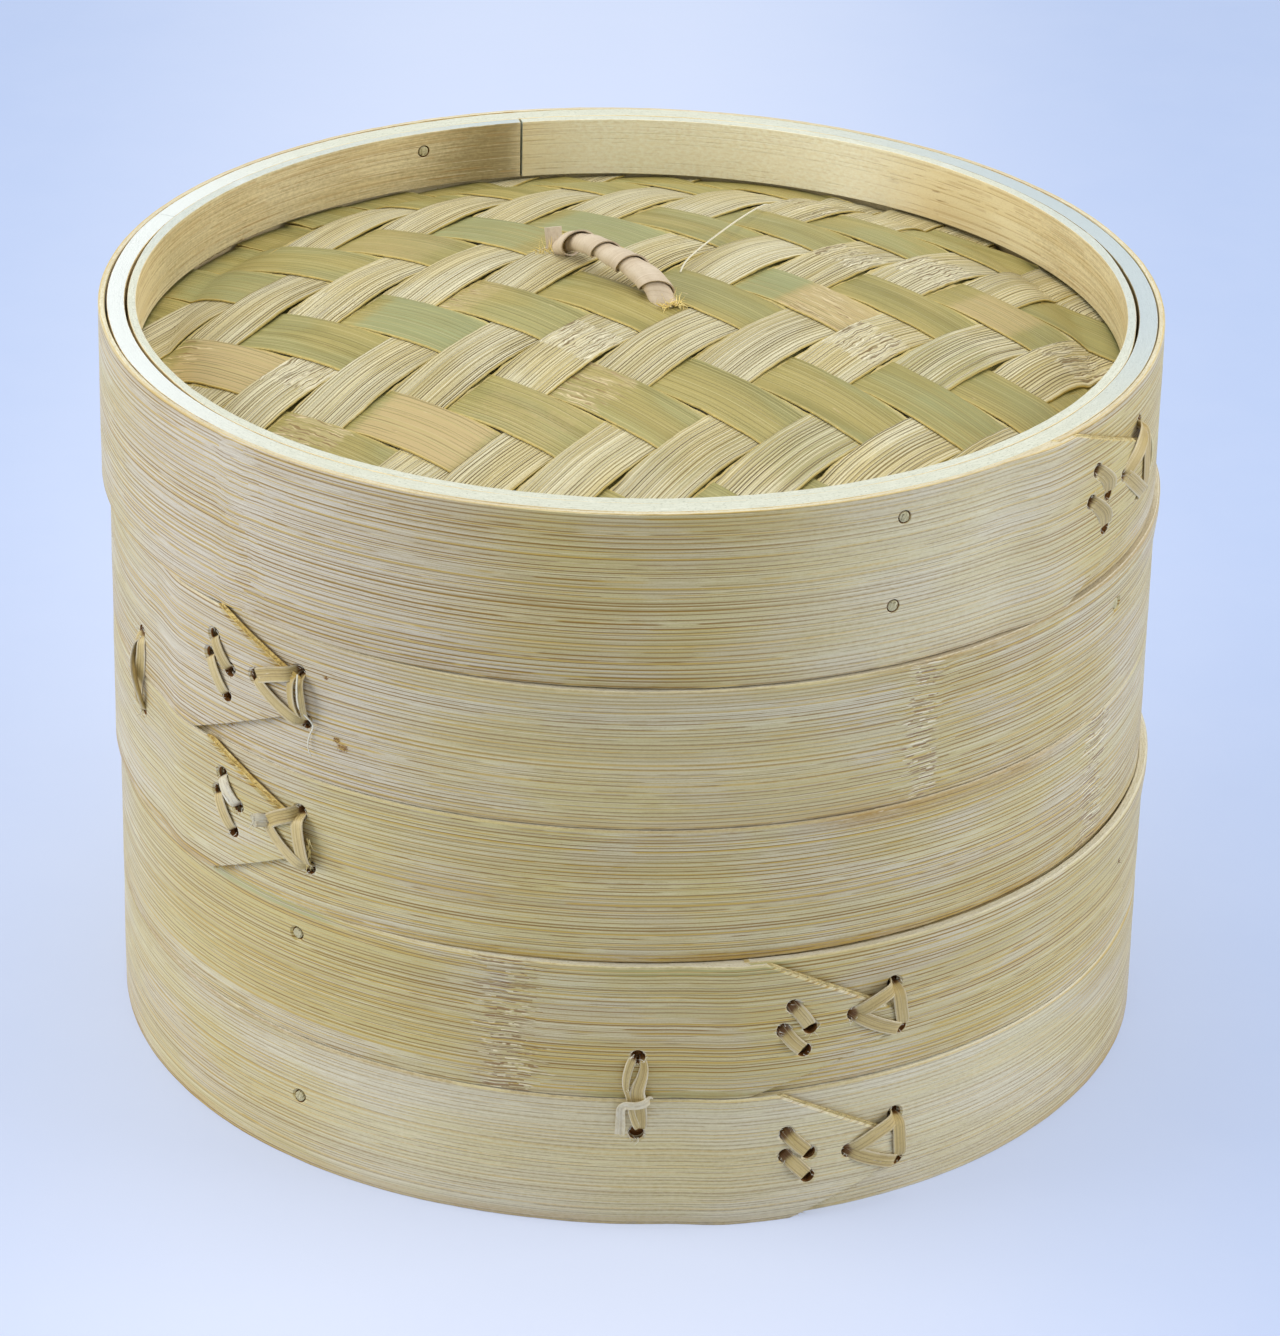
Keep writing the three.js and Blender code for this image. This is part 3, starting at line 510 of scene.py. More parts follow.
def bamboo(name, light, dark, line, pale, pitch=0.95, bold=0.75, faint=0.35, hairs=0.4, share=0.6,
           length=26.0, depth=0.08, roughness=0.5, gloss=0.5, sheen=0.0, skin=(158, 160, 104),
           stain_and_shade=(168, 130, 72), worn_and_lit=(232, 226, 204), torn=(236, 228, 200), cleft=(150, 116, 66),
           thick=0.15, gold=None, cool=None, warm=None, shredded=0.3, tatter=0.8, tear=3.6, wobble=2.4,
           viewer_shade=None):
    """Split bamboo: a ground from light to dark with brown, golden and pale lines along its grain.

    The mask's channels are green skin, broken fibres at a node, stain and a worn edge. The stain channel
    also carries painted shade, and the worn edge painted highlights and painted light. Below zero the first
    channel makes the ground cooler and the third one warmer. The last argument is a tint of painted shade by
    the view: it darkens and yellows faces that look at the viewer, so that faces seen at a slant look paler."""
    f = Finish(name)
    gold, cool, warm = gold or line, cool or light, warm or dark
    grain = f.attribute("grain").outputs["Vector"]
    place = f.node("ShaderNodeSeparateXYZ", {0: grain})
    mask = f.attribute("mask")
    split = f.node("ShaderNodeSeparateColor", {0: mask.outputs["Color"]})
    green, node, stain_and_shade_amount = split.outputs[0], split.outputs[1], split.outputs[2]
    along, strip = place.outputs[0], place.outputs[2]
    across = f.scaled_plus(f.noise(grain, 0.006, 0.03, 3.0), 2.0, place.outputs[1])
    moved = f.triple(along, across, strip)

    broad = f.noise(moved, 0.005, 0.3, 13.0, 3.0, 0.55)
    weft = f.noise(moved, 0.05, 2.6, 31.0, 3.0, 0.6)
    tint = f.noise(moved, 0.035, 0.1, 37.0, 1.0, 0.4)
    patch = f.noise(grain, 0.02, 0.06, 41.0)
    mottle = f.noise(grain, 0.9, 1.6, 47.0, 3.0, 0.6)
    speck = f.noise(grain, 2.2, 3.4, 61.0, 2.0, 0.7)
    dull = srgb(*[0.5 * (a + b) for a, b in zip(dark, line)])
    colour = f.mix(f.step(broad, 0.36, 0.64), srgb(*light), srgb(*dark))
    colour = f.mix(f.step(tint, 0.5, 0.6, 0.0, 0.5), colour, srgb(*cool))
    colour = f.mix(f.step(tint, 0.5, 0.38, 0.0, 0.5), colour, srgb(*warm))
    colour = f.mix(f.step(green, 0.0, -1.0), colour, srgb(*cool))
    colour = f.mix(f.step(stain_and_shade_amount, 0.0, -1.0), colour, srgb(*warm))
    colour = f.mix(f.step(weft, 0.45, 0.7, 0.0, 0.2), colour, srgb(*dark))
    colour = f.mix(f.step(speck, 0.5, 0.68, 0.0, 0.3), colour, dull)
    colour = f.mix(f.step(patch, 0.45, 0.7, 0.0, 0.25), colour, dull)

    skin_here = f.step(f.ragged(weft, 1.1, green), 0.2, 0.85, 0.0, 0.8)
    skin_colour = f.mix(f.step(weft, 0.4, 0.65), srgb(*skin), srgb(*[1.1 * c for c in skin]))
    colour = f.mix(skin_here, colour, skin_colour)
    # Stain, and painted shade where a mask asks for it: in a wall's seams and where rattan sinks into a
    # hole.
    stain_and_shade_here = f.ragged(weft, 0.8, f.ragged(mottle, 0.5, stain_and_shade_amount))
    colour = f.mix(f.step(stain_and_shade_here, 0.12, 0.95), colour, srgb(*stain_and_shade))

    crowd = f.noise(moved, 0.004, 0.11, 11.0, 3.0, 0.55)
    brown = f.fibres(along, across, strip, pitch, 0.45 * thick, thick, share, length, 0.0)
    golden = f.fibres(along, across, strip, pitch * 1.37, 0.07, 0.2, share - 0.03, length * 1.3, 5.3)
    fine = f.fibres(along, across, strip, pitch * 0.47, 0.1, 0.24, share - 0.15, length * 0.5, 21.7)
    white = f.fibres(along, across, strip, pitch * 1.2, 0.04, 0.11, share - 0.15, length * 0.6, 9.1)
    strong = f.times(brown, f.step(crowd, 0.3, 0.6, 0.55, 1.0))
    weak = f.times(fine, f.step(crowd, 0.36, 0.62, 0.25, 1.0))
    quiet = f.scaled_plus(skin_here, -0.5, 1.0)
    colour = f.mix(f.times(f.times(golden, faint), quiet), colour, srgb(*gold))
    colour = f.mix(f.times(weak, 0.7 * faint), colour, dull)
    colour = f.mix(f.times(f.times(strong, bold), quiet), colour, srgb(*line))
    colour = f.mix(f.times(white, hairs), colour, srgb(*pale))

    rip = f.noise(grain, 0.16, 0.9, 7.0, 3.0, 0.6)
    broken = f.step(f.ragged(rip, 2.4, node), 0.4, 0.75)
    wavy = f.scaled_plus(f.noise(grain, 0.2, 0.4, 67.0), wobble, across)
    shred = f.fibres(along, wavy, strip, tatter, 0.1, 0.26, 0.8, tear, 53.0)
    fleck = f.fibres(along, wavy, strip, 0.83 * tatter, 0.1, 0.26, 0.72, tear, 59.0)
    colour = f.mix(f.times(broken, shredded), colour, srgb(*torn))
    colour = f.mix(f.times(fleck, broken), colour, srgb(*torn))
    colour = f.mix(f.times(f.times(shred, broken), 0.8), colour, srgb(*cleft))
    # A paler worn colour, which some masks also use as a painted highlight or painted light.
    wear_and_light = f.times(mask.outputs["Alpha"], f.step(mottle, 0.3, 0.7, 0.55, 1.0))
    colour = f.mix(wear_and_light, colour, srgb(*worn_and_lit))
    # Painted shade by the view: faces that look at the viewer turn darker and yellower than faces seen at a
    # slant.
    if viewer_shade is not None:
        turned = f.node("ShaderNodeLayerWeight", {"Blend": 0.5}).outputs["Facing"]
        facing_shade = f.mix(f.step(turned, 0.08, 0.26), viewer_shade, (1.0, 1.0, 0.98, 1.0))
        colour = f.mix(1.0, colour, facing_shade, "MULTIPLY")

    height = f.scaled_plus(brown, -0.6, f.times(weft, 0.8))
    height = f.scaled_plus(fine, -0.3, height)
    height = f.scaled_plus(f.times(f.math("SUBTRACT", fleck, shred), broken), 1.1, height)
    rough = f.step(weft, 0.3, 0.7, roughness - 0.06, roughness + 0.1)
    return f.surface(colour, rough, height, depth * MM, 0.9, gloss, sheen)


def cut_bamboo(name, light, dark, speck, depth=0.15, rind=None, dots=0.6, cool=None, fresh_and_lit=None,
               back_shadow=None):
    """The cut edge of a strip: porous and slightly hairy. The rind is the golden line at its outside.

    The last three arguments are the colours where the mask's blue, green or red channel is full. The red
    one is a painted shadow at the back of a cut face. On the rim the green one is painted bluish light and
    the blue one painted blue shade; elsewhere they mark stains and broken fibres."""
    f = Finish(name)
    grain = f.attribute("grain").outputs["Vector"]
    streak = f.noise(grain, 0.3, 2.6, 5.0, 3.0, 0.65)
    spots = f.noise(grain, 1.5, 3.0, 9.0, 2.0, 0.6)
    broad = f.noise(grain, 0.03, 0.5, 13.0)
    colour = f.mix(f.step(streak, 0.38, 0.62), srgb(*light), srgb(*dark))
    colour = f.mix(f.step(broad, 0.4, 0.65, 0.0, 0.5), colour, srgb(*dark))
    colour = f.mix(f.step(spots, 0.56, 0.68, 0.0, dots), colour, srgb(*speck))
    mask = f.attribute("mask")
    split = f.node("ShaderNodeSeparateColor", {0: mask.outputs["Color"]})
    if cool is not None:
        colour = f.mix(f.times(split.outputs[2], 0.8), colour, srgb(*cool))
    if fresh_and_lit is not None:
        colour = f.mix(f.times(split.outputs[1], 0.8), colour, srgb(*fresh_and_lit))
    if rind is not None:
        edge = f.times(f.step(mask.outputs["Alpha"], 0.6, 0.95), f.step(streak, 0.3, 0.6, 0.6, 1.0))
        colour = f.mix(f.times(edge, 0.9), colour, srgb(*rind))
    if back_shadow is not None:
        colour = f.mix(f.step(split.outputs[0], 0.8, 1.0), colour, srgb(*back_shadow))
    height = f.scaled_plus(spots, -0.8, streak)
    return f.surface(colour, 0.75, height, depth * MM, 1.0, 0.25)


def make_finishes():
    """Every material by its short name. A bamboo starts with its light, dark, line and pale colours."""
    return {
        "band": bamboo(
            "band_bamboo", (214, 203, 160), (202, 189, 142), (150, 114, 40), (238, 231, 206), pitch=0.85,
            sheen=0.25, share=0.88, bold=0.95, faint=0.85, gold=(200, 166, 70), thick=0.2, length=20.0,
            worn_and_lit=(240, 233, 208), cool=(210, 199, 178), warm=(206, 190, 124), torn=(243, 231, 197),
            cleft=(138, 96, 38), stain_and_shade=(178, 140, 66), shredded=0.05, wobble=0.4, tear=3.0, tatter=0.9,
            # The last tint is painted shade by the view, on faces that look at the viewer.
            viewer_shade=(1.01, 0.965, 0.76, 1.0)),
        "hoop": bamboo(
            "hoop_bamboo", (242, 228, 186), (231, 212, 162), (180, 146, 88), (248, 240, 212), pitch=1.3,
            bold=0.5, share=0.45, length=9.0, stain_and_shade=(150, 132, 88), worn_and_lit=(255, 252, 228),
            torn=(216, 190, 136), cleft=(168, 138, 92)),
        # The wall's stain colour also paints the shade in the seams in front of it.
        "wall": bamboo(
            "wall_bamboo", (222, 208, 162), (206, 190, 142), (176, 144, 84), (232, 222, 190),
            stain_and_shade=(112, 80, 40)),
        # On the rim its blue and its pale white are painted shade and painted bluish light; on the inner
        # hoop they mark stains and broken fibres.
        "mint": cut_bamboo(
            "hoop_top", (222, 224, 208), (210, 212, 194), (182, 186, 168), dots=0.8,
            cool=(184, 198, 206), fresh_and_lit=(230, 236, 236)),
        "cut": cut_bamboo(
            "band_top", (236, 231, 206), (218, 211, 180), (184, 170, 126), rind=(216, 190, 122),
            cool=(178, 146, 98)),
        "ledge": cut_bamboo(
            "tier_band_top", (244, 240, 222), (226, 220, 194), (190, 178, 138), cool=(182, 154, 106)),
        "bark": bamboo(
            "brown_fray", (150, 98, 52), (120, 74, 36), (90, 54, 26), (170, 118, 66), roughness=0.6),
        # Cut ends: their last colour is a painted shadow at the back of the cut face.
        "end": cut_bamboo(
            "tongue_cut", (238, 212, 136), (210, 177, 96), (252, 232, 172), 0.3, back_shadow=(126, 92, 46)),
        "pale_end": cut_bamboo(
            "pale_tongue_cut", (232, 218, 168), (212, 192, 132), (184, 154, 94), 0.3,
            back_shadow=(184, 152, 90)),
        "olive": bamboo(
            "olive_skin", (172, 161, 96), (152, 142, 79), (118, 108, 50), (208, 198, 146), pitch=0.8,
            bold=0.6, faint=0.45, hairs=0.5, share=0.7, length=60.0, depth=0.05, roughness=0.4,
            cool=(164, 164, 112), warm=(184, 166, 98), skin=(150, 156, 110), stain_and_shade=(196, 174, 122),
            worn_and_lit=(216, 194, 118), torn=(224, 206, 160), cleft=(138, 106, 56), gold=(184, 172, 106),
            thick=0.2, tatter=1.0, tear=6.0),
        "pale": bamboo(
            "pale_pith", (219, 210, 171), (198, 186, 138), (92, 74, 34), (244, 238, 210), pitch=0.75,
            bold=0.95, faint=0.6, hairs=0.6, share=0.95, length=60.0, depth=0.16, roughness=0.62,
            gloss=0.35, skin=(160, 158, 112), worn_and_lit=(200, 178, 100), cool=(222, 216, 184),
            warm=(218, 202, 146), torn=(238, 230, 198), cleft=(120, 94, 48), thick=0.19,
            gold=(166, 146, 84), tatter=1.0, tear=8.0),
        # The rattan's stain colour is also painted shade where a strand sinks into a hole.
        "rattan": bamboo(
            "rattan_strip", (212, 190, 130), (192, 168, 104), (140, 108, 50), (234, 220, 178), pitch=0.6,
            bold=0.5, faint=0.4, share=0.7, length=14.0, depth=0.06, roughness=0.42, stain_and_shade=(120, 82, 42)),
        "rattan_pale": bamboo(
            "rattan_wrap", (214, 198, 173), (198, 180, 153), (172, 146, 114), (232, 218, 196), pitch=0.9,
            bold=0.3, faint=0.2, share=0.45, length=12.0, depth=0.05, roughness=0.5, gloss=0.45,
            worn_and_lit=(238, 226, 206)),
        "fray": bamboo(
            "yellow_fray", (255, 238, 168), (246, 224, 140), (214, 184, 104), (255, 246, 196),
            roughness=0.6),
        "wisp": bamboo(
            "white_fray", (244, 240, 222), (232, 226, 202), (206, 196, 160), (250, 248, 236),
            roughness=0.6),
        "backing": bamboo(
            "backing_sheet", (132, 108, 66), (104, 82, 46), (72, 54, 32), (160, 134, 86), depth=0.2,
            roughness=0.8),
        "slat": bamboo(
            "floor_slat", (222, 210, 168), (208, 192, 146), (172, 140, 86), (234, 226, 194), length=80.0),
        "peg": cut_bamboo("peg_end_grain", (216, 208, 170), (184, 174, 132), (98, 84, 52), 0.25, dots=0.9),
        # Hole walls and pocket floors: a brown darker than the cut edges, painted shade inside the holes.
        "hole": cut_bamboo("hole_wall", (182, 128, 70), (140, 94, 46), (84, 54, 26), 0.25),
    }


def add_camera():
    """The camera at the photograph's place, solved from the rims, seams and outlines."""
    pitch, yaw, roll = 0.4561, 0.0032, 0.0231
    position = (-0.0007, -1.00682, 0.56170)
    forward = Vector((math.sin(yaw) * math.cos(pitch), math.cos(yaw) * math.cos(pitch), -math.sin(pitch)))
    right = Vector((math.cos(yaw), -math.sin(yaw), 0))
    up = right.cross(forward)
    x_axis = math.cos(roll) * right + math.sin(roll) * up
    y_axis = -math.sin(roll) * right + math.cos(roll) * up
    turn = Matrix((x_axis, y_axis, -forward)).transposed().to_4x4()
    data = bpy.data.cameras.new("photo_camera")
    data.lens = 149.68
    data.sensor_width = 36
    data.clip_start = 0.05
    data.clip_end = 20
    camera = bpy.data.objects.new("photo_camera", data)
    camera.matrix_world = Matrix.Translation(position) @ turn
    bpy.context.scene.collection.objects.link(camera)
    bpy.context.scene.camera = camera


def add_lamp(name, position, aim, size, power):
    data = bpy.data.lights.new(name, "AREA")
    data.shape = "RECTANGLE"
    data.size, data.size_y = size
    data.energy = power
    data.color = (1.0, 0.99, 0.97)
    lamp = bpy.data.objects.new(name, data)
    lamp.location = position
    lamp.rotation_euler = (Vector(aim) - Vector(position)).to_track_quat("-Z", "Y").to_euler()
    bpy.context.scene.collection.objects.link(lamp)


def add_world():
    """Soft daylight from all sides. The camera sees the backdrop's pale blue instead."""
    world = bpy.data.worlds.new("studio")
    bpy.context.scene.world = world
    world.use_nodes = True
    tree = world.node_tree
    tree.nodes.clear()
    seen = tree.nodes.new("ShaderNodeBackground")
    seen.inputs["Color"].default_value = srgb(206, 221, 250)
    glow = tree.nodes.new("ShaderNodeBackground")
    glow.inputs["Color"].default_value = (0.93, 0.96, 1.0, 1.0)
    glow.inputs["Strength"].default_value = 0.42
    ray = tree.nodes.new("ShaderNodeLightPath")
    pick = tree.nodes.new("ShaderNodeMixShader")
    out = tree.nodes.new("ShaderNodeOutputWorld")
    tree.links.new(ray.outputs["Is Camera Ray"], pick.inputs[0])
    tree.links.new(glow.outputs[0], pick.inputs[1])
    tree.links.new(seen.outputs[0], pick.inputs[2])
    tree.links.new(pick.outputs[0], out.inputs[0])


def add_lamps():
    side_size, top_size = (0.9, 0.8), (0.8, 0.8)
    add_lamp("softbox_left", (-1.2, -0.15, 0.55), (0, 0, 0.08), side_size, 11.0)
    add_lamp("softbox_right", (1.2, -0.15, 0.55), (0, 0, 0.08), side_size, 9.0)
    add_lamp("softbox_top", (0.0, 0.2, 1.35), (0, 0, 0.12), top_size, 8.5)


def floor_finish():
    """Pale blue paper with a painted pool of light: whiter in the middle, darker aside and at the back. Half
    of what the camera sees is the plain colour.
    """
    f = Finish("studio_floor")
    position = f.node("ShaderNodeNewGeometry").outputs["Position"]
    part = f.node("ShaderNodeSeparateXYZ", {0: position})
    out_x = f.math("ABSOLUTE", f.math("SUBTRACT", part.outputs[0], -0.02))
    aside = f.step(out_x, 0.02, 0.19)
    away = f.step(part.outputs[1], -0.25, 0.45)
    paper = f.noise(position, 40.0, 40.0, 2.0, 3.0, 0.6)
    plain = f.mix(aside, srgb(223, 232, 255), srgb(189, 205, 240))
    plain = f.mix(f.times(away, 0.28), plain, srgb(184, 205, 242))
    plain = f.mix(f.step(paper, 0.2, 0.8, 0.0, 0.05), plain, srgb(232, 238, 255))
    bump = f.node("ShaderNodeBump", {"Height": paper, "Distance": 0.0002, "Strength": 0.3})
    matte = f.node("ShaderNodeBsdfDiffuse", {"Color": plain, "Normal": bump.outputs[0]})
    lit = f.node("ShaderNodeEmission", {"Color": plain, "Strength": 1.0})
    ray = f.node("ShaderNodeLightPath")
    mirrored = f.math("MAXIMUM", ray.outputs["Is Glossy Ray"], ray.outputs["Is Transmission Ray"])
    seen = f.math("MAXIMUM", ray.outputs["Is Camera Ray"], mirrored)
    blend = f.node("ShaderNodeMixShader", {0: f.times(seen, 0.5), 1: matte.outputs[0], 2: lit.outputs[0]})
    out = f.node("ShaderNodeOutputMaterial")
    f.tree.links.new(blend.outputs[0], out.inputs[0])
    return f.material


def add_floor():
    radius, sides = 3.0, 96
    turns = [TAU * k / sides for k in range(sides)]
    mesh = bpy.data.meshes.new("floor")
    rim = [(radius * math.cos(turn), radius * math.sin(turn), 0.0) for turn in turns]
    mesh.from_pydata(rim, [], [tuple(range(sides))])
    mesh.materials.append(floor_finish())
    floor = bpy.data.objects.new("floor", mesh)
    bpy.context.scene.collection.objects.link(floor)


def lace_holes(lace):
    return [spot for stitch in lace["stitches"] for spot in stitch] + list(lace["triangle"])


def on_tongue(dx, dz):
    """Whether a lacing hole so far from the tip goes through the tongue too."""
    return not (dx > -2 or (dx > -7 and abs(dz) > 5))


def band_fibres(shape, on_band, edges, spots, scars, length, dice):
    """Frayed fibres along the tongue's two cuts, round the lacing holes and at the scars."""
    for edge, amount, reach, way in edges:
        for _ in range(amount):
            s = length - dice.uniform(0.5, reach)
            z = float(edge(s))
            root = on_band(s, z, -0.5)
            ahead = on_band(s + 1, z, -0.4)
            up = dice.uniform(0.05, 0.5) * way
            lean = (ahead - root) + np.array([0, 0, up])
            hair(shape, root, lean, dice.uniform(0.5, 1.6), 0.06, dice, finish=2)
    for s, z in spots:
        for _ in range(10):
            turn = dice.uniform(0, TAU)
            way = turn + dice.choice((-1, 1)) * dice.uniform(0.5, 1.7)
            root_s, root_z = s + LACE_HOLE * math.cos(turn), z + LACE_HOLE * math.sin(turn)
            root = on_band(root_s, root_z, -0.06)
            ahead = on_band(root_s + math.cos(way), root_z + math.sin(way), dice.uniform(0.0, 0.5))
            size = dice.uniform(0.4, 1.4)
            hair(shape, root, ahead - root, size, dice.uniform(0.04, 0.08), dice, finish=4)
    for s, z, reach in scars:
        for _ in range(int(16 * reach)):
            root = on_band(s + dice.uniform(-1, 1) * reach, z + dice.uniform(-0.7, 0.7) * reach, -0.03)
            ahead = on_band(s + dice.uniform(-2, 2), z + dice.uniform(-1, 1), 0.3)
            hair(shape, root, ahead - root, dice.uniform(0.3, 0.9), 0.07, dice, finish=5)


def lap_band(name, node, place, radius, base, height, tip, lap, lace, pegs, ties, mask, lean, seed, joints,
             slant, cut_look, low_down, tip_rise=0.0, bright_top=0.0, bevel=0.15, top_up=0.0, scars=(),
             edge_look="ledge"):
    """An outer band: it climbs over its own start, and its end tapers to a tongue. Lean moves it in or out.

    Slant is how far the tongue's upper cut slopes back, and bright top how pale the band's upper edge is,
    partly worn and partly a painted highlight.
    The band stands higher and reaches lower than its height by top up and low down. A scar is a small
    brown tear at an azimuth and height."""
    round_trip = TAU * radius
    length = round_trip + lap["length"]
    start = tip - math.degrees(lap["length"] / radius)
    tip_middle = height / 2 + tip_rise
    lower_wave, upper_wave = waves(seed + 1, 190, 5), waves(seed + 2, 160, 5)
    fray_low, fray_high = waves(seed + 3, 9, 4, 0.8), waves(seed + 4, 8, 4, 0.8)
    bow, ripple = waves(seed + 5, 130, 4), waves(seed + 6, 40, 3)

    def taper(s, cut):
        return np.clip((s - (length - cut[0])) / cut[0], 0, 1)

    def low(s):
        t = taper(s, lap["low"])
        edge = 0.1 * lower_wave(s) + 0.035 * fray_low(s)
        return edge - low_down * (1 - t) + (tip_middle + lap["low"][1]) * t

    def high(s):
        t = taper(s, lap["high"])
        edge = 0.1 * upper_wave(s) - 0.1 + 0.04 * fray_high(s)
        return (height + top_up) * (1 - t) + (tip_middle + lap["high"][1]) * t + edge

    def azimuth(s):
        return start + np.degrees(s / radius)

    def inner(s, z):
        """The back stays on the wall until just before the start, so that a lean or climb leaves no gap."""
        covering = smoothstep(s, round_trip - 0.1, round_trip + 0.7)
        aside = lean(azimuth(s), z)
        moved = np.minimum(aside, 0) + (CLIMB + np.maximum(aside, 0)) * covering
        return radius - BAND + 0.05 * bow(s) + moved

    def outer(s, z):
        crown = 0.05 * (1 - ((z - height / 2) / (height / 2)) ** 2)
        lift = CLIMB * smoothstep(s, round_trip - RAMP, round_trip) + 0.05 * bow(s) + lean(azimuth(s), z)
        return radius + lift + 0.04 * ripple(s + 2.0 * z) + crown - 0.05

    def skive(s):
        return slant * smoothstep(taper(s, lap["high"]), 0.0, 0.04)

    def scarred(s, z):
        out = mask(azimuth(s), z)
        for ahead, up, reach in scar_spots:
            near = np.hypot((s - ahead) / 1.4, z - up)
            out[..., 2] += 1.6 * bump_at(near, 0.0, 0.55 * reach)
        return out

    def on_band(s, z, out=0.0):
        return on_cylinder(local, start + math.degrees(s / radius), z, float(outer(s, z)) + out)[0]

    scar_spots = [(length_to(angle, start, radius), z, reach) for angle, z, reach in scars]
    tie_spots = [(length_to(angle, start, radius), z - base) for angle, z in ties]
    below, above, holes_on_top = [], [], []
    for dx, dz in lace_holes(lace):
        covered = on_tongue(dx, dz)
        below.append((lap["length"] + dx, tip_middle + dz, LACE_HOLE + 0.4 * covered))
        if covered:
            above.append((length + dx, tip_middle + dz, LACE_HOLE))
        holes_on_top.append(above[-1][:2] if covered else below[-1][:2])
    holes = below + above + [(length_to(angle, start, radius), z - base, PEG_HOLE) for angle, z in pegs]
    holes += [(s, z, LACE_HOLE) for s, z in tie_spots]
    edge_rows = [height - 2.4, height - 1.2]
    local = {"body": place["body"], "x": place["x"], "z": place["z"] + base}
    shape = Shape()
    bent_strip(shape, local, start, length, radius, low, high, inner, outer, holes=holes, seed=seed,
               rows=np.concatenate([[1.2], np.arange(2.4, height - 2.4, 2.9), edge_rows]),
               mask=scarred, spots_at=scar_spots, ends=(length - lap["low"][0], length - lap["high"][0]),
               bevel=bevel, low_bevel=0.12, skive=skive, bright_top=bright_top,
               joints=[length_to(angle, start, radius) for angle in joints])
    edges = ((low, 60, lap["low"][0], -1), (high, 150, lap["high"][0], 1))
    band_fibres(shape, on_band, edges, holes_on_top + tie_spots, scar_spots, length, random.Random(seed))
    finishes = ["band", edge_look, cut_look, "hole", "wisp", "bark"]
    shape.piece(name, finishes, place["body"], "outer_band", node)


def hoop(name, node, place, inner_radius, outer_radius, bottom, top, joint, finishes, seed, pockets=(),
         holes=(), outside=None, inside=None, lip=None, waver=0.08, gap_at=None, slit=0.5):
    """A hoop with a butt joint. Lip is the height above which its outside is shaved, and that radius."""
    radius = (inner_radius + outer_radius) / 2
    length = TAU * radius - slit
    start = joint + math.degrees(slit / 2 / radius)
    upper_wave = waves(seed + 2, 150, 4)
    fray = waves(seed + 3, 7, 4, 0.8)
    bow = waves(seed + 4, 170, 3)

    def low(s):
        return 0.0 * np.asarray(s, float)

    def high(s):
        return (top - bottom) + 0.1 * upper_wave(s) + 0.03 * fray(s) - 0.1

    def inner(s, z):
        return inner_radius + waver * bow(s) + 0 * z

    def outer(s, z):
        full = outer_radius + waver * bow(s) + 0 * z
        if gap_at is not None:
            full = full - gap_at(start + np.degrees(s / radius))
        if lip is None:
            return full
        return np.where(np.asarray(z) > lip[0] - bottom, lip[1] + waver * bow(s), full)

    def shading(mask):
        return None if mask is None else lambda s, z: mask(start + np.degrees(s / radius), z + bottom)

    rows = np.arange(1.5, 80, 3.0)
    if lip is not None:
        seams = [SEAM + step for step in (-1.4, -0.6, 0.6, 1.4)]
        seams += [lip[0] + step for step in (-0.8, -0.1, 0.02, 1.3, 2.0)]
        rows = np.sort(np.concatenate([rows, np.array(seams) - bottom]))
    local = {"body": place["body"], "x": place["x"], "z": place["z"] + bottom}
    shape = Shape()
    bent_strip(shape, local, start, length, radius, low, high, inner, outer, rows, seed=seed, bevel=0.08,
               pockets=[(length_to(a, start, radius), z - bottom, r, POCKET) for a, z, r in pockets],
               holes=[(length_to(a, start, radius), z - bottom, r) for a, z, r in holes],
               mask=shading(outside), back_mask=shading(inside))
    shape.piece(name, finishes, place["body"], "hoop", node)


def strand(shape, place, radius, tip, tip_z, points, seed, width, thickness=0.5, crown=-0.2, twist=0.0,
           pinch=0.25, count=30, finish=0, mask=NO_MASK, edge_highlight=0.5, levels=(0.0, 0.0)):
    """A ribbon of rattan over a band, through points along it, up it and out from it.

    Levels are how far out the band's face lies at its two ends: below it the ribbon is brown, painted shade."""
    line = curve_through(points, count)
    angle = tip + np.degrees(line[:, 0] / radius)
    path = on_cylinder(place, angle, tip_z + line[:, 1], radius + line[:, 2])
    turn = np.radians(angle)
    tangent = np.column_stack([-np.sin(turn), np.cos(turn), 0 * turn])
    outward = np.column_stack([np.cos(turn), np.sin(turn), 0 * turn])
    way = unit(np.gradient(line[:, :2], axis=0))
    across = -way[:, 1:] * tangent + way[:, :1] * np.array([0, 0, 1.0])
    lean = np.sin(np.linspace(0, math.pi, count))[:, None] * twist
    across = across * np.cos(lean) + outward * np.sin(lean)
    slim = 1 - pinch * np.abs(np.linspace(-1, 1, count)) ** 3
    width = np.atleast_1d(width)
    widths = np.interp(np.linspace(0, 1, count), np.linspace(0, 1, len(width)), width)
    shade = np.tile(np.asarray(mask, float), (count, 1, 1))
    # Painted shade: the ribbon turns brown where it sinks below the band's face into a hole.
    under = np.where(np.arange(count) < count / 2, levels[0], levels[1]) - line[:, 2]
    shade[:, 0, 2] = np.maximum(shade[:, 0, 2], smoothstep(under, -0.35, 0.75))
    ribbon(shape, path, across, widths * slim, thickness, seed, crown=crown, finish=finish, mask=shade,
           edge_highlight=edge_highlight)


# Ways into or out of a hole: how far along from its centre and how far out from the surface
SLOPE = [(-0.6, -2.0), (-0.35, -1.3), (0.5, -0.45), (1.5, 0.32)]
DIVE = [(0.25, -1.9), (0.3, -0.7), (0.6, 0.12), (1.4, 0.4)]


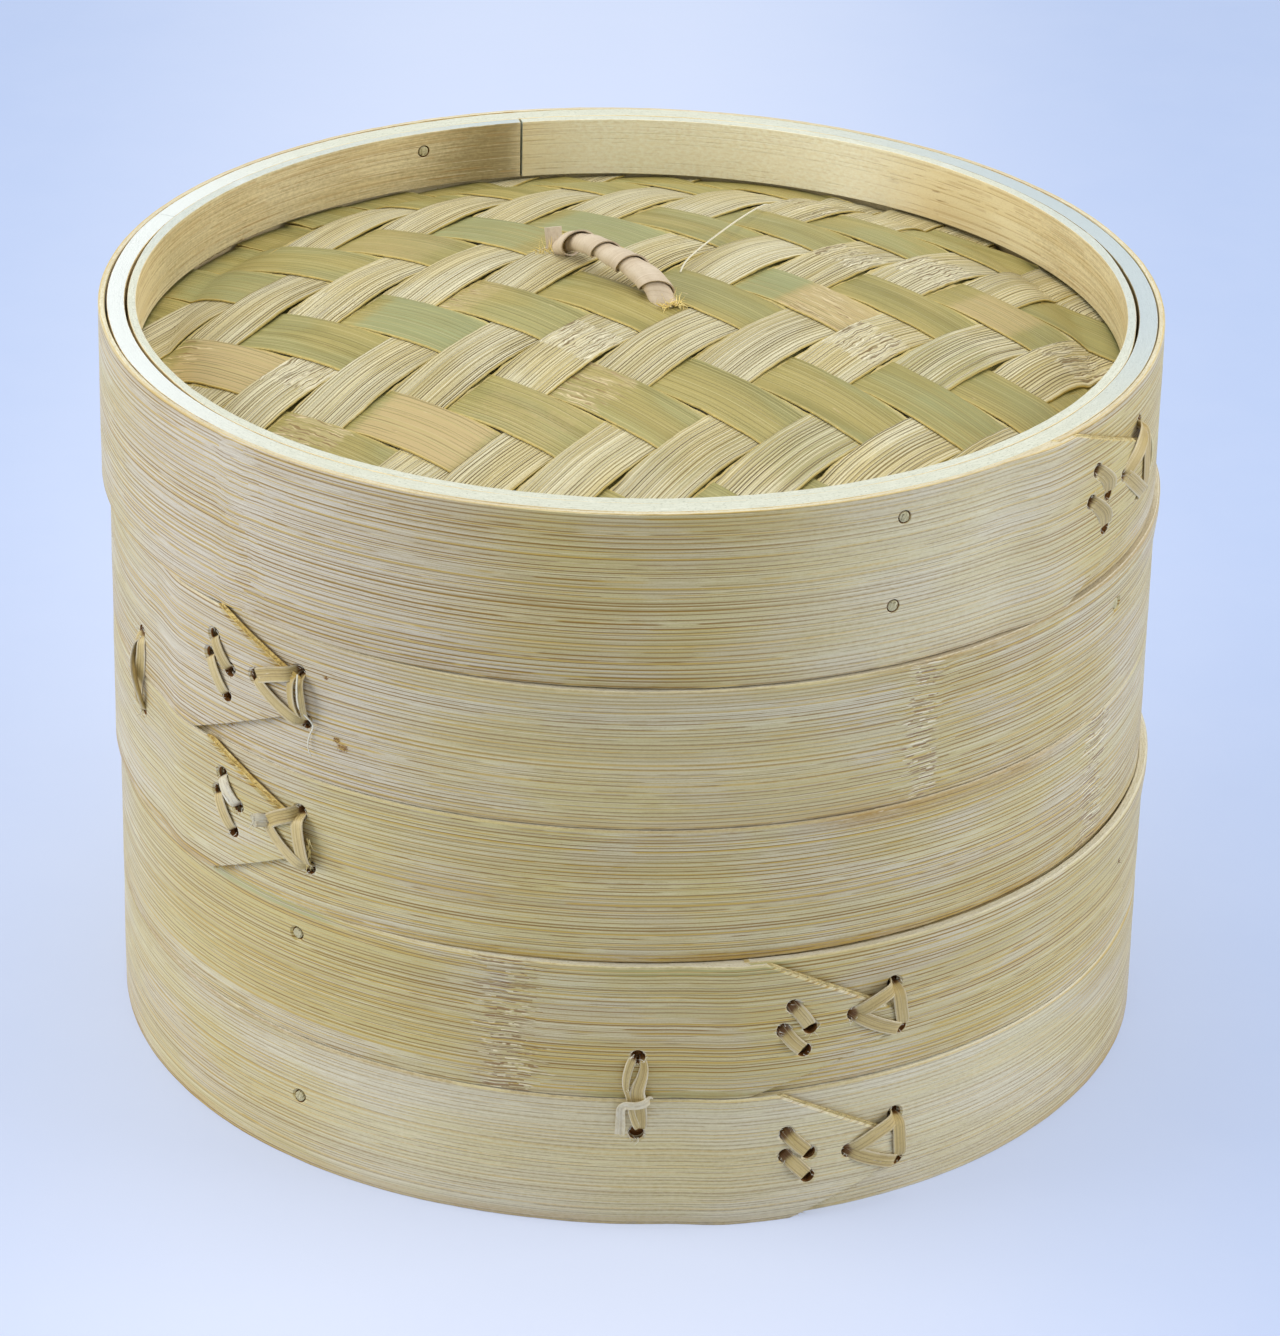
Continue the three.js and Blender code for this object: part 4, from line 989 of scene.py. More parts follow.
def stitch(shape, place, radius, tip, tip_z, first, second, seed, width=2.7, lift=0.6, crest=None,
           twist=0.0, pinch=0.3, aside=0.0, leave=DIVE, finish=0, mask=NO_MASK):
    """One run of rattan that comes out of one hole, lies over the band and goes into another."""
    gap = second[:2] - first[:2]
    span = float(np.hypot(*gap))
    way = gap / span
    over = np.array([-way[1], way[0]])
    crest = max(first[2], second[2]) if crest is None else crest

    def near_hole(ways, level):
        last = len(ways) - 1
        for k, (share, rise) in enumerate(ways):
            yield share, (max(level, 0.75 * crest) if k == last else level) + rise

    places = list(near_hole(leave, first[2]))
    places.append((span / 2, crest + lift))
    places += [(span - share, height) for share, height in reversed(list(near_hole(DIVE, second[2])))]
    guides = []
    for share, height in places:
        swing = aside * math.sin(math.pi * min(max(share / span, 0.0), 1.0))
        dx, dz = first[:2] + way * share + over * swing
        guides.append((dx, dz, height))
    strand(shape, place, radius, tip, tip_z, guides, seed, width, twist=twist, pinch=pinch, finish=finish,
           mask=mask, levels=(first[2], second[2]))


def lace_spots(pattern):
    """Each lacing hole's place and how far out the strip on top lies there."""
    def spot(dx, dz, covered):
        return np.array([dx, dz, CLIMB if covered else 0.0])

    stitches = [tuple(spot(dx, dz, True) for dx, dz in pair) for pair in pattern["stitches"]]
    left, top, bottom = pattern["triangle"]
    return stitches, (spot(*left, True), spot(*top, False), spot(*bottom, False))


def near_tip(place, radius, tip, dx, z, out):
    """A point so far along from a band's tip and so far out from its face."""
    return on_cylinder(place, tip + math.degrees(dx / radius), z, radius + out)[0]


def torn_rattan(spot, left, top, bottom, seed, dice):
    """A torn white end at the triangle's left corner and yellow fibres beside its right strand."""
    shape, place, radius, tip, tip_z = spot
    loose = [(left[0] + 0.6, left[1] + 0.3, CLIMB - 1.0), (left[0] - 0.2, left[1] + 0.4, CLIMB + 0.5),
             (left[0] - 1.2, left[1] + 0.5, CLIMB + 1.5), (left[0] - 2.0, left[1] + 0.1, CLIMB + 1.9)]
    strand(*spot, loose, seed + 8, 2.6, thickness=0.35, twist=0.5, pinch=0.1, mask=(0, 0.8, 0, 0.6))
    for _ in range(14):
        level = tip_z + left[1] + dice.uniform(-1.1, 1.1)
        root = near_tip(place, radius, tip, left[0] - 1.9, level, CLIMB + 1.7)
        lean = (dice.uniform(-1, 0.2), dice.uniform(-1, 0), dice.uniform(-1, 1))
        hair(shape, root, lean, dice.uniform(0.8, 1.8), 0.08, dice, finish=2)
    for _ in range(16):
        beside = 0.5 * (top[0] + bottom[0]) + (1.5 + dice.uniform(-0.4, 0.4))
        level = tip_z + bottom[1] + dice.uniform(1.0, 7.5)
        root = near_tip(place, radius, tip, beside, level, dice.uniform(0.2, 1.2))
        lean = (dice.uniform(-0.2, 0.3), dice.uniform(-0.5, 0), -1)
        hair(shape, root, lean, dice.uniform(1.2, 2.6), 0.14, dice, finish=1)


def loose_thread(spot, top, bottom, seed):
    """A white thread that hangs from the triangle's top corner past the lower one."""
    x0, z0, x1, z1 = top[0], top[1], bottom[0], bottom[1]
    guides = [(x0 + 0.9, z0 + 0.3, CLIMB), (x0 + 1.5, z0 - 2.5, CLIMB + 1.0),
              (x0 + 2.0, z0 - 6.0, CLIMB + 0.9), (x1 + 2.2, z1 + 0.2, 0.8), (x1 + 1.2, z1 - 2.4, 0.5),
              (x1 + 1.0, z1 - 4.6, 0.8), (x1 + 1.9, z1 - 6.4, 0.9)]
    widths = (0.5, 0.45, 0.35, 0.3, 0.2)
    strand(*spot, guides, seed + 9, widths, thickness=0.2, crown=0.0, finish=2, count=50)


def lacing(name, node, place, radius, tip, tip_z, pattern, seed, doubled=False, leaf=False, torn=False,
           thread=False, leave=DIVE):
    """Two stitches and a triangle of rattan that hold a band's tongue down."""
    shape = Shape()
    stitches, (left, top, bottom) = lace_spots(pattern)
    dice = random.Random(seed)
    spot = (shape, place, radius, tip, tip_z)
    for k, (first, second) in enumerate(stitches):
        bare = (0, 0.9, 0, 0.55) if torn and k == 0 else NO_MASK
        if leaf:
            stitch(*spot, first, second, seed + k, width=3.2, pinch=0.6, twist=0.6, aside=0.7, lift=0.9)
        else:
            stitch(*spot, first, second, seed + k, width=2.9, twist=dice.uniform(-0.15, 0.15),
                   aside=dice.uniform(-0.2, 0.2), leave=leave, mask=bare)
    turned = 0.5 if leaf else 0.12
    stitch(*spot, left, bottom, seed + 3, width=3.0, lift=0.4 + turned, twist=turned, aside=-0.4,
           leave=leave)
    stitch(*spot, left, top, seed + 4, width=3.0, lift=0.7 + 0.5 * turned, twist=-turned, aside=0.45,
           leave=leave)
    crest = CLIMB - 0.1
    if doubled:
        for k, shift in enumerate((-0.95, 0.85)):
            stitch(*spot, top + [shift, 0, 0], bottom + [shift, 0, 0], seed + 5 + k, crest=crest,
                   width=(2.2, 1.3)[k], lift=0.75 + 0.3 * k, twist=0.3 - 0.8 * k, aside=(-0.2, 0.9)[k])
    else:
        stitch(*spot, top, bottom, seed + 5, width=3.3 if torn else 2.8, lift=0.8 if torn else 0.6,
               crest=crest, twist=0.1, aside=0.25 if torn else -0.25)
    if leaf:
        stitch(*spot, top + [1.2, -0.6, 0], bottom + [1.0, 2.4, 0], seed + 7, width=1.7, lift=0.6,
               crest=CLIMB - 0.3, twist=-0.7, aside=1.5, finish=1, pinch=0.6)
    if torn:
        torn_rattan(spot, left, top, bottom, seed, dice)
    if thread:
        loose_thread(spot, top, bottom, seed)
    turn = math.radians(tip)
    for x, z, level in [hole for pair in stitches for hole in pair] + [left, top, bottom]:
        for _ in range(3):
            way = dice.uniform(0, TAU)
            ahead, up = x + 0.9 * math.cos(way), z + 0.9 * math.sin(way)
            root = near_tip(place, radius, tip, ahead, tip_z + up, level - 0.1)
            lean = (math.cos(turn) + dice.uniform(-1, 1), math.sin(turn) + dice.uniform(-1, 1),
                    math.sin(way))
            hair(shape, root, lean, dice.uniform(0.5, 1.1), 0.07, dice, bend=0.6, finish=2)
    shape.piece(name, ["rattan", "fray", "wisp"], place["body"], "rattan_lacing", node)


def wrapped_tie_runs(up, down):
    """Two strands up and down, and a third that wraps round their middle and hangs down on the left."""
    left = [(-0.6, up - 0.2, -1.8), (-0.9, up - 0.5, -0.4), (-1.5, up - 1.7, 0.5), (-2.0, 5.3, 0.9),
            (-2.1, 2.9, 1.0), (-1.5, 0.2, 0.9), (-0.9, -2.7, 0.9), (-0.1, -5.3, 0.6),
            (0.5, down + 0.9, -0.3), (0.5, down + 0.6, -1.8)]
    right = [(0.9, up - 0.3, -1.8), (1.0, up - 0.7, -0.3), (1.2, up - 2.0, 0.5), (0.9, 5.2, 0.9),
             (0.1, 2.4, 1.2), (0.2, 0.2, 1.0), (0.7, -2.4, 0.9), (0.9, -5.2, 0.5),
             (0.9, down + 0.9, -0.3), (0.9, down + 0.6, -1.8)]
    wrap = [(2.4, 0.0, -0.2), (2.3, 0.2, 0.8), (1.2, -0.2, 1.8), (-0.6, -0.5, 2.0), (-2.1, -0.6, 1.7),
            (-2.9, -1.6, 1.2), (-3.0, -3.6, 0.9), (-3.0, -5.4, 0.9), (-3.1, -7.2, 1.2)]
    return [(left, (1.6, 1.9, 1.7, 0.9, 1.3, 1.5, 1.6), -0.35, 0),
            (right, (1.2, 1.6, 2.3, 3.2, 2.6, 2.2, 1.8), 0.25, 0),
            (wrap, (1.5, 1.7, 1.6, 1.6, 1.8, 2.0, 2.2), 0.1, 0.75)]


def crossed_tie_runs(up, down):
    """Two strands that cross once on their way down."""
    over = [(-0.5, up - 0.3, -1.8), (-0.6, up - 0.6, -0.3), (-1.1, up - 1.8, 0.8), (-1.3, 4.5, 1.4),
            (0.1, 0.5, 1.9), (1.0, -3.5, 1.3), (0.9, down + 1.4, 0.5), (0.5, down + 0.8, -0.3),
            (0.5, down + 0.5, -1.8)]
    under = [(0.5, up - 0.3, -1.8), (0.6, up - 0.6, -0.3), (1.0, up - 1.8, 0.5), (1.1, 4.5, 0.7),
             (0.2, 0.5, 0.7), (-0.9, -3.5, 0.7), (-0.8, down + 1.4, 0.4), (-0.4, down + 0.8, -0.3),
             (-0.4, down + 0.5, -1.8)]
    return [(over, (2.0, 2.5, 2.2, 1.6, 2.0), 0.8, 0), (under, (2.0, 2.3, 2.2), -0.7, 0)]


def tie(name, node, place, angle, seed, wrapped=False):
    """Rattan strands that bind the bands of a tier over their seam."""
    shape = Shape()
    up, down = TIE_HOLES
    runs = wrapped_tie_runs(up, down) if wrapped else crossed_tie_runs(up, down)
    for k, (points, width, twist, pale) in enumerate(runs):
        strand(shape, place, TIER_RADIUS, angle, SEAM, points, seed + k, width, twist=twist, count=40,
               pinch=0.12, mask=(0, 0, 0, pale), edge_highlight=0.8)
    dice = random.Random(seed)
    turn = math.radians(angle)
    frays = ((-1.8, 2.6), (-2.2, 2.4), (-0.9, up + 0.6), (1.2, up - 0.2), (-2.9, -7.3), (0.2, down - 0.9))
    for dx, dz in frays:
        for _ in range(4):
            ahead = dx + dice.uniform(-0.3, 0.3)
            level = SEAM + dz + dice.uniform(-0.3, 0.3)
            root = near_tip(place, TIER_RADIUS, angle, ahead, level, 0.6)
            lean = (math.cos(turn) + dice.uniform(-1, 1), math.sin(turn) + dice.uniform(-1, 1),
                    dice.uniform(-1, 1))
            hair(shape, root, lean, dice.uniform(0.5, 1.3), 0.08, dice, bend=0.5, finish=1)
    shape.piece(name, ["rattan", "wisp"], place["body"], "rattan_lacing", node)


def peg(name, node, place, angle, z, radius, back, seed, inward=False):
    """A bamboo pin with a slightly uneven end. Its rings go from its back to the middle of its end."""
    shape = Shape()
    turn = np.arange(20) * TAU / 20
    size = 1.08 + 0.05 * waves(seed, 3.0, 3)(turn)
    out = -1.0 if inward else 1.0
    levels = [back] + [radius + out * step for step in (-0.3, -0.1, -0.02, 0.02, 0.03)]
    rings = []
    for level, share in zip(levels, (0.97, 1.0, 0.97, 0.86, 0.5, 0.12)):
        aside = np.degrees(size * share * np.sin(turn) / radius)
        uneven = 0.03 * share * np.sin(5 * turn)
        rings.append(on_cylinder(place, angle - aside, z + size * share * np.cos(turn), level + uneven))
    rings = np.array(rings)
    if not inward:
        rings = rings[:, ::-1]
    around = np.stack(np.broadcast_arrays(np.cos(turn), np.sin(turn), seed + 0 * turn), -1)
    scale = np.array([1.1, 1.1, 1.1, 0.95, 0.55, 0.1])[:, None, None]
    grain = around[None] * np.concatenate([np.repeat(scale, 2, axis=2), np.ones_like(scale)], axis=2)
    shape.loft(rings, grain + [7.0 * seed, 0, 0])
    shape.piece(name, ["peg"], place["body"], "peg", node)


# The weave's two strip families: the way they run, their pitch and the index of the one at the middle
SLIM = math.radians(-41.3)
BROAD = math.radians(55.6)
SLIM_PITCH, BROAD_PITCH = 15.36, 13.89
SLIM_MIDDLE, BROAD_MIDDLE = 4.34, 3.62
CLAMP = 97.9
STRIP = 0.42
# The dome's foot and rise inside the hoops, and the underside of the upper inner hoop
DOME_RADIUS = 96.65
DOME_FOOT = 21.0
DOME_RISE = 13
DOME_CEILING = 21.7


def dome(x, y):
    return DOME_FOOT + DOME_RISE * (1 - (x * x + y * y) / DOME_RADIUS**2)


def weave_place(slim, broad):
    x = slim * math.cos(SLIM) + broad * math.cos(BROAD)
    y = slim * math.sin(SLIM) + broad * math.sin(BROAD)
    return x, y


def smoothed(field, amount):
    """How far each row of a field moves towards the mean of its neighbours."""
    return amount * (field[:-2] + field[2:] - 2 * field[1:-1])


def weave_fields():
    """Heights of both strip families over the dome on one grid, pushed apart wherever they cross."""
    per_pitch = 24
    slim = np.arange(-10 * per_pitch, 10 * per_pitch + 1) * BROAD_PITCH / per_pitch
    broad = np.arange(-9 * per_pitch, 9 * per_pitch + 1) * SLIM_PITCH / per_pitch
    a, b = np.meshgrid(slim, broad, indexing="ij")
    x, y = weave_place(a, b)
    r = np.hypot(x, y)
    at_slim = b / SLIM_PITCH + SLIM_MIDDLE
    at_broad = a / BROAD_PITCH + BROAD_MIDDLE
    i, j = np.round(at_slim), np.round(at_broad)
    side_i, side_j = (at_slim - i) * SLIM_PITCH, (at_broad - j) * BROAD_PITCH
    over = np.mod(j - i + 1, 4) < 2
    sign = np.where(over, 1.0, -1.0)
    olive_turn = np.cos(TAU * (at_broad - (i - 0.5)) / 4)
    pale_turn = np.cos(TAU * (at_slim - (j - 1.5)) / 4)
    calm = 1 - smoothstep(r, 78, 95)
    olive = np.where(olive_turn > 0, 0.5 + 0.3 * calm, 0.6) * olive_turn
    pale = np.where(pale_turn > 0, 0.6 + 0.65 * calm, 0.6) * pale_turn
    pale += 0.38 * calm * (0.6 - (2 * side_j / BROAD_PITCH) ** 2) * smoothstep(pale_turn, -0.3, 0.4)
    olive += 0.14 * calm * (0.6 - (2 * side_i / SLIM_PITCH) ** 2) * smoothstep(olive_turn, -0.3, 0.4)
    same_olive = i[:, 1:-1] * 3 == i[:, :-2] + i[:, 1:-1] + i[:, 2:]
    same_pale = j[1:-1] * 3 == j[:-2] + j[1:-1] + j[2:]
    clamped, lowest, ceiling = r > 90, -0.75, DOME_CEILING - dome(x, y)

    def push_apart(olive, pale):
        gap = np.where(over, olive - pale, pale - olive)
        push = sign * np.clip(STRIP + 0.1 - gap, 0, None) / 2
        return olive + push, pale - push

    for _ in range(60):
        olive, pale = push_apart(olive, pale)
        olive[1:-1] += smoothed(olive, 0.25)
        pale[:, 1:-1] += smoothed(pale.T, 0.25).T
        olive[:, 1:-1] += np.where(same_olive, smoothed(olive.T, 0.2).T, 0)
        pale[1:-1] += np.where(same_pale, smoothed(pale, 0.2), 0)
        olive = np.where(clamped, np.clip(olive, lowest, ceiling), olive)
        pale = np.where(clamped, np.clip(pale, lowest, ceiling), pale)
    return slim, broad, *push_apart(olive, pale)


def look_up(slim, broad, field, a, b):
    """The height field between its grid points."""
    fa = np.clip((a - slim[0]) / (slim[1] - slim[0]), 0, len(slim) - 1.001)
    fb = np.clip((b - broad[0]) / (broad[1] - broad[0]), 0, len(broad) - 1.001)
    ia, ib = fa.astype(int), fb.astype(int)
    wa, wb = fa - ia, fb - ib
    return ((field[ia, ib] * (1 - wa) + field[ia + 1, ib] * wa) * (1 - wb)
            + (field[ia, ib + 1] * (1 - wa) + field[ia + 1, ib + 1] * wa) * wb)


# Marks on the strips: which strip, where along it, how far they reach, the kind and how strong they are
OLIVE_MARKS = [
    (0, -1, 16, "peach", 0.95), (0, -54, 16, "peach", 0.95), (0, -66, 6, "torn", 0.5),
    (4, -59, 15, "peach", 0.38), (3, -28, 8, "peach", 0.5), (3, -27, 4, "torn", 0.4),
    (-1, -20, 10, "torn", 0.7), (2, 18, 9, "torn", 0.55), (2, 16, 10, "peach", 0.4),
    (6, 33, 12, "peach", 0.9), (6, 32, 9, "torn", 0.5), (8, 54, 10, "peach", 0.7),
    (6, -27, 16, "green", 0.8), (6, 18, 7, "green", 0.7), (2, -27, 16, "green", 0.8),
    (5, -46, 16, "green", 0.6), (2, -80, 14, "green", 0.5), (5, 76, 14, "green", 0.4),
    (7, -10, 15, "green", 0.3), (9, 20, 15, "green", 0.4), (3, 45, 14, "green", 0.2),
    (-1, 20, 14, "peach", 0.4), (10, -20, 12, "peach", 0.3), (1, 13, 14, "peach", 0.38),
]
PALE_MARKS = [
    (4, -24, 8, "torn", 1.0), (1, -62, 9, "torn", 0.85), (5, 51, 8, "torn", 0.65),
    (6, 62, 9, "torn", 0.8), (7, 18, 9, "torn", 0.8), (9, 54, 8, "torn", 0.7),
    (8, 26, 15, "green", 0.5), (8, -23, 16, "green", 0.5), (7, -40, 16, "green", 0.3),
    (2, 20, 15, "green", 0.25), (0, -40, 8, "torn", 0.4), (3, 75, 8, "torn", 0.5),
]
# The loose thread over the weave: where it goes and how high above the dome
THREAD = [(28.0, 64.0, 1.2), (26.7, 59.9, 2.0), (18.1, 33.5, 2.8), (10.2, 12.9, 2.1), (9.4, 11.0, 0.9)]
THREAD_STRIP = 3
CHANNELS = {"green": 0, "torn": 1, "peach": 2}


def weave_mask(marks, index, run, share):
    out = np.zeros(run.shape + (4,))
    for strip, middle, reach, kind, strength in marks:
        if strip == index:
            part = strength * (1 - smoothstep(np.abs(run - middle), 0.6 * reach, reach))
            out[..., CHANNELS[kind]] = np.maximum(out[..., CHANNELS[kind]], part)
    out[..., 3] = smoothstep(np.abs(share), 0.93, 1.0)
    return out


def weave_strip(name, node, family, index, fields, seed, marks, threads=()):
    """One strip of the weave: stations along it, shares over its width, cut off at the clamping hoops."""
    slim, broad, olive, pale = fields
    is_olive = family == "olive"
    pitch, middle_index = (SLIM_PITCH, SLIM_MIDDLE) if is_olive else (BROAD_PITCH, BROAD_MIDDLE)
    centre = (index - middle_index) * pitch
    half = pitch / 2 - 0.22
    wander = waves(seed, 70, 3)
    fray_a, fray_b = waves(seed + 1, 14, 4, 0.7), waves(seed + 2, 12, 4, 0.7)
    lump = waves(seed + 3, 5, 4, 0.8)
    share = np.concatenate([[-1, -0.93], np.linspace(-0.8, 0.8, 9), [0.93, 1]])
    cosine = math.cos(BROAD - SLIM)
    k, s = np.meshgrid(np.arange(-112, 112.01, 1.0), share, indexing="ij")
    aside = centre + s * half + 0.16 * wander(k) + np.where(s > 0, 0.1 * fray_a(k), 0.1 * fray_b(k)) * s**2
    reach = np.sqrt(np.maximum(CLAMP**2 - aside**2 * (1 - cosine**2), 0))
    run = np.clip(k, -aside * cosine - reach, -aside * cosine + reach)
    a, b = (run, aside) if is_olive else (aside, run)
    x, y = weave_place(a, b)
    rise = look_up(slim, broad, olive if is_olive else pale, a, b)
    moving = np.abs(np.diff(run.mean(axis=1), prepend=run[0].mean() - 1)) > 0.02
    first, last = np.argmax(moving), len(moving) - np.argmax(moving[::-1])
    chosen = slice(max(first - 1, 0), last)
    x, y, rise, run, s = x[chosen], y[chosen], rise[chosen], run[chosen], s[chosen]
    torn = weave_mask(marks, index, run, s)[..., 1]
    edge = 0.5 * STRIP * (1 - 0.3 * np.abs(s) ** 8)
    middle = dome(x, y) + rise + LID["z"]
    top = np.stack([x + LID["x"], y, middle + edge + 0.16 * torn * lump(run + 3 * s)], -1)
    bottom = np.stack([x + LID["x"], y, middle - edge], -1)
    flip = 1 if is_olive else -1

    def both_faces(below, above):
        return np.concatenate([below[:, ::flip], above[:, ::-flip]], axis=1)

    shares, runs = both_faces(s, s), both_faces(run, run)
    grain = np.stack([runs + 331.0 * seed, shares * half + 19.0 * seed, np.full_like(runs, seed * 1.7)], -1)
    shape = Shape()
    shape.loft(both_faces(bottom, top), grain, weave_mask(marks, index, runs, shares))
    for thread in threads:
        guides = [(x + LID["x"], y, dome(x, y) + rise + LID["z"]) for x, y, rise in thread]
        ribbon(shape, curve_through(guides, 24), (0.4, -0.9, 0), 0.32, 0.3, seed, finish=1, sides=6)
    shape.piece(name, [family, "wisp"], "lid", f"{family}_strip", node, sharp=60)


def make_weave():
    fields = weave_fields()
    for k in range(12):
        name = f"olive_strip_{k + 1:02d}"
        weave_strip(name, f"lid_{name}", "olive", k - 1, fields, 200 + k, OLIVE_MARKS)
    for k in range(13):
        name = f"pale_strip_{k + 1:02d}"
        threads = [THREAD] if k == THREAD_STRIP else []
        weave_strip(name, f"lid_{name}", "pale", k - 2, fields, 300 + k, PALE_MARKS, threads)
    shape = Shape()
    radii = np.linspace(0.5, CLAMP, 26)
    turn = np.arange(96) * TAU / 96
    r, t = np.meshgrid(radii, turn, indexing="ij")
    x, y = r * np.cos(t), r * np.sin(t)
    top, low = (np.stack([x + LID["x"], y, dome(x, y) - drop + LID["z"]], -1) for drop in (1.25, 1.8))
    flat = np.stack([x, y, 0 * x], -1)
    grain = np.concatenate([flat, flat[::-1]]) + [700.0, 50.0, 3.0]
    shape.loft(np.concatenate([low, top[::-1]]), grain)
    shape.piece("weave_backing", ["backing"], "lid", "lining", "lid_lining")


# The handle stands on this place of the weave and runs this way
HANDLE_X, HANDLE_Y = -3.5, 7.7
HANDLE_WAY = math.radians(-50.5)
HANDLE_FOOT = -5.35


def handle_point(along, rise):
    x = HANDLE_X + math.cos(HANDLE_WAY) * along
    y = HANDLE_Y + math.sin(HANDLE_WAY) * along
    return np.array([LID["x"] + x, y, LID["z"] + dome(x, y) + rise])


def handle_line(count):
    """The handle's middle line, from one foot under the weave to the other."""
    profile = [(-18.4, HANDLE_FOOT), (-18.2, -1.5), (-17.2, 1.4), (-15.0, 3.5), (-11.4, 4.9),
               (-7.6, 5.4), (-1.0, 5.1), (7.6, 4.4), (11.6, 3.3), (14.2, 1.8), (15.9, -0.5),
               (16.3, -2.6), (16.4, HANDLE_FOOT)]
    return curve_through([handle_point(along, rise) for along, rise in profile], count)


def handle_core(line, sideways):
    """The bent rattan stick, with a knot under the weave at each end."""
    core = Shape()
    ribbon(core, line, sideways, 2.7, 2.7, 41, sides=14)
    for end in (line[0], line[-1]):
        knot = end + np.array([[0, 0, 1.0]]) * np.linspace(-3.0, 3.0, 9)[:, None]
        size = 6.2 * np.sin(np.linspace(0.35, math.pi - 0.35, 9))
        ribbon(core, knot, sideways, size, size, 43, sides=14)
    core.piece("handle_core", ["rattan"], "lid", "handle_core", "lid_handle_core")


def handle_wrap(shape, sideways):
    """A flat strip wound round the stick: each turn's lip lies over the turn before it."""
    dense = handle_line(500)
    run = np.concatenate([[0], np.cumsum(np.linalg.norm(np.diff(dense, axis=0), axis=1))])
    flat = (dense - handle_point(0, 0)) @ np.array([math.cos(HANDLE_WAY), math.sin(HANDLE_WAY), 0.0])

    def run_at(along):
        return float(np.interp(along, flat, run))

    def on_line(at):
        return np.stack([np.interp(at, run, dense[:, k]) for k in range(3)], -1)

    first_lip, pitch, end = run_at(-10.6), 8.2, run_at(15.8)
    turns_before, turns_after, steps = 1.1, 4.4, 270
    phase = np.linspace(-turns_before * TAU, turns_after * TAU, steps)
    lip = first_lip + pitch * phase / TAU
    tight = smoothstep(phase, -0.35 * TAU, 0.3 * TAU)
    cover = 3.0 + 0.9 * smoothstep(phase, -1.1 * TAU, -0.3 * TAU) + 5.4 * tight
    ragged = waves(52, 1.3, 4, 0.8)
    share = np.linspace(-1, 1, 13)
    at = lip[:, None] - cover[:, None] * (1 - share[None]) / 2
    at = np.minimum(at, end + 0.35 * ragged(phase[:, None] + share[None]) + 0.02 * share[None])
    at += np.where((at > end - 1.5) & (np.cos(phase)[:, None] < 0.2), -0.8, 0.0)
    centre = on_line(at)
    ahead = unit(on_line(at + 0.3) - on_line(at - 0.3))
    normal = unit(np.cross(ahead, np.broadcast_to(sideways, ahead.shape)))
    size = np.interp(at, [run_at(-10), run_at(0), run_at(12)], [1.55, 1.75, 2.1])
    flare = 0.42 * smoothstep(share, -0.75, 0.2)[None] + 0.22 * smoothstep(share, 0.5, 1.0)[None]
    loose = (1 - tight)[:, None]
    cosine, sine = np.cos(phase)[:, None], np.sin(phase)[:, None]
    layers = []
    for skin in (-0.15, 0.15):
        level = size + flare + skin
        up = (level + 0.25 * loose) * cosine
        out = (level + 1.2 * loose) * sine
        layers.append(centre + normal * up[..., None] + sideways * out[..., None])
    rings = np.concatenate([layers[0], layers[1][:, ::-1]], axis=1)
    shares = np.concatenate([share, share[::-1]])
    grain = np.stack(np.broadcast_arrays(phase[:, None] * 2.6, shares[None] * 4.2, 61.0), -1)
    shape.loft(rings, grain)


def handle_tail(shape):
    """The wrap's loose end, which stands up from the weave at the left foot."""
    guides = [(-18.6, -1.5), (-19.0, 1.6), (-19.4, 3.6), (-19.7, 5.9)]
    tail = curve_through([handle_point(along, rise) for along, rise in guides], 12)
    lean = np.linspace([0.9, 0.2, 0.1], [0.85, 0.2, 0.5], 12)
    ribbon(shape, tail, lean, np.linspace(3.0, 3.5, 12), 0.3, 63, crown=0.1, mask=(0, 0, 0, 0.8))


def make_handle():
    sideways = np.array([-math.sin(HANDLE_WAY), math.cos(HANDLE_WAY), 0.0])
    handle_core(handle_line(70), sideways)
    shape = Shape()
    handle_wrap(shape, sideways)
    handle_tail(shape)
    dice = random.Random(66)
    frays = ((-19.4, 40, -1.6), (-17.6, 24, -3.2), (18.0, 40, -0.4))
    for along, amount, aside in frays:
        for _ in range(amount):
            foot = handle_point(along + dice.uniform(-1.0, 1.0), 0.9)
            root = foot + sideways * (aside + dice.uniform(-2.2, 2.2))
            lean = (dice.uniform(-1, 1), dice.uniform(-1, 1), dice.uniform(-0.2, 0.9))
            hair(shape, root, lean, dice.uniform(1.2, 3.0), 0.15, dice, bend=0.8, finish=1)
    shape.piece("handle_wrap", ["rattan_pale", "fray"], "lid", "handle_wrap", "lid_handle_wrap")


def arc_part(angle, first, last, soft):
    """1 inside a stretch of azimuths and softly 0 outside it."""
    turn = np.mod(np.asarray(angle, float) - first + 60, 360) - 60
    return smoothstep(turn, -soft, soft) * (1 - smoothstep(turn, last - first - soft, last - first + soft))


def front_part(angle):
    """1 round the front of the steamer, where its edges have warped apart a little."""
    return arc_part(angle, 248, 340, 14)


def lid_lean(angle, z):
    inward = 0.25 * front_part(angle) + 0.5 * arc_part(angle, 222, 274, 8)
    return -inward * (1 - smoothstep(z, 0, 5))


def rim_shade_and_light_mask(angle, z):
    """Painted blue shade on the right of the rim and painted cool, bluish light on its left."""
    out = blank_mask(angle, z)
    out[..., 2] = arc_part(angle, 338, 420, 22)
    out[..., 1] = arc_part(angle, 140, 222, 18)
    return out


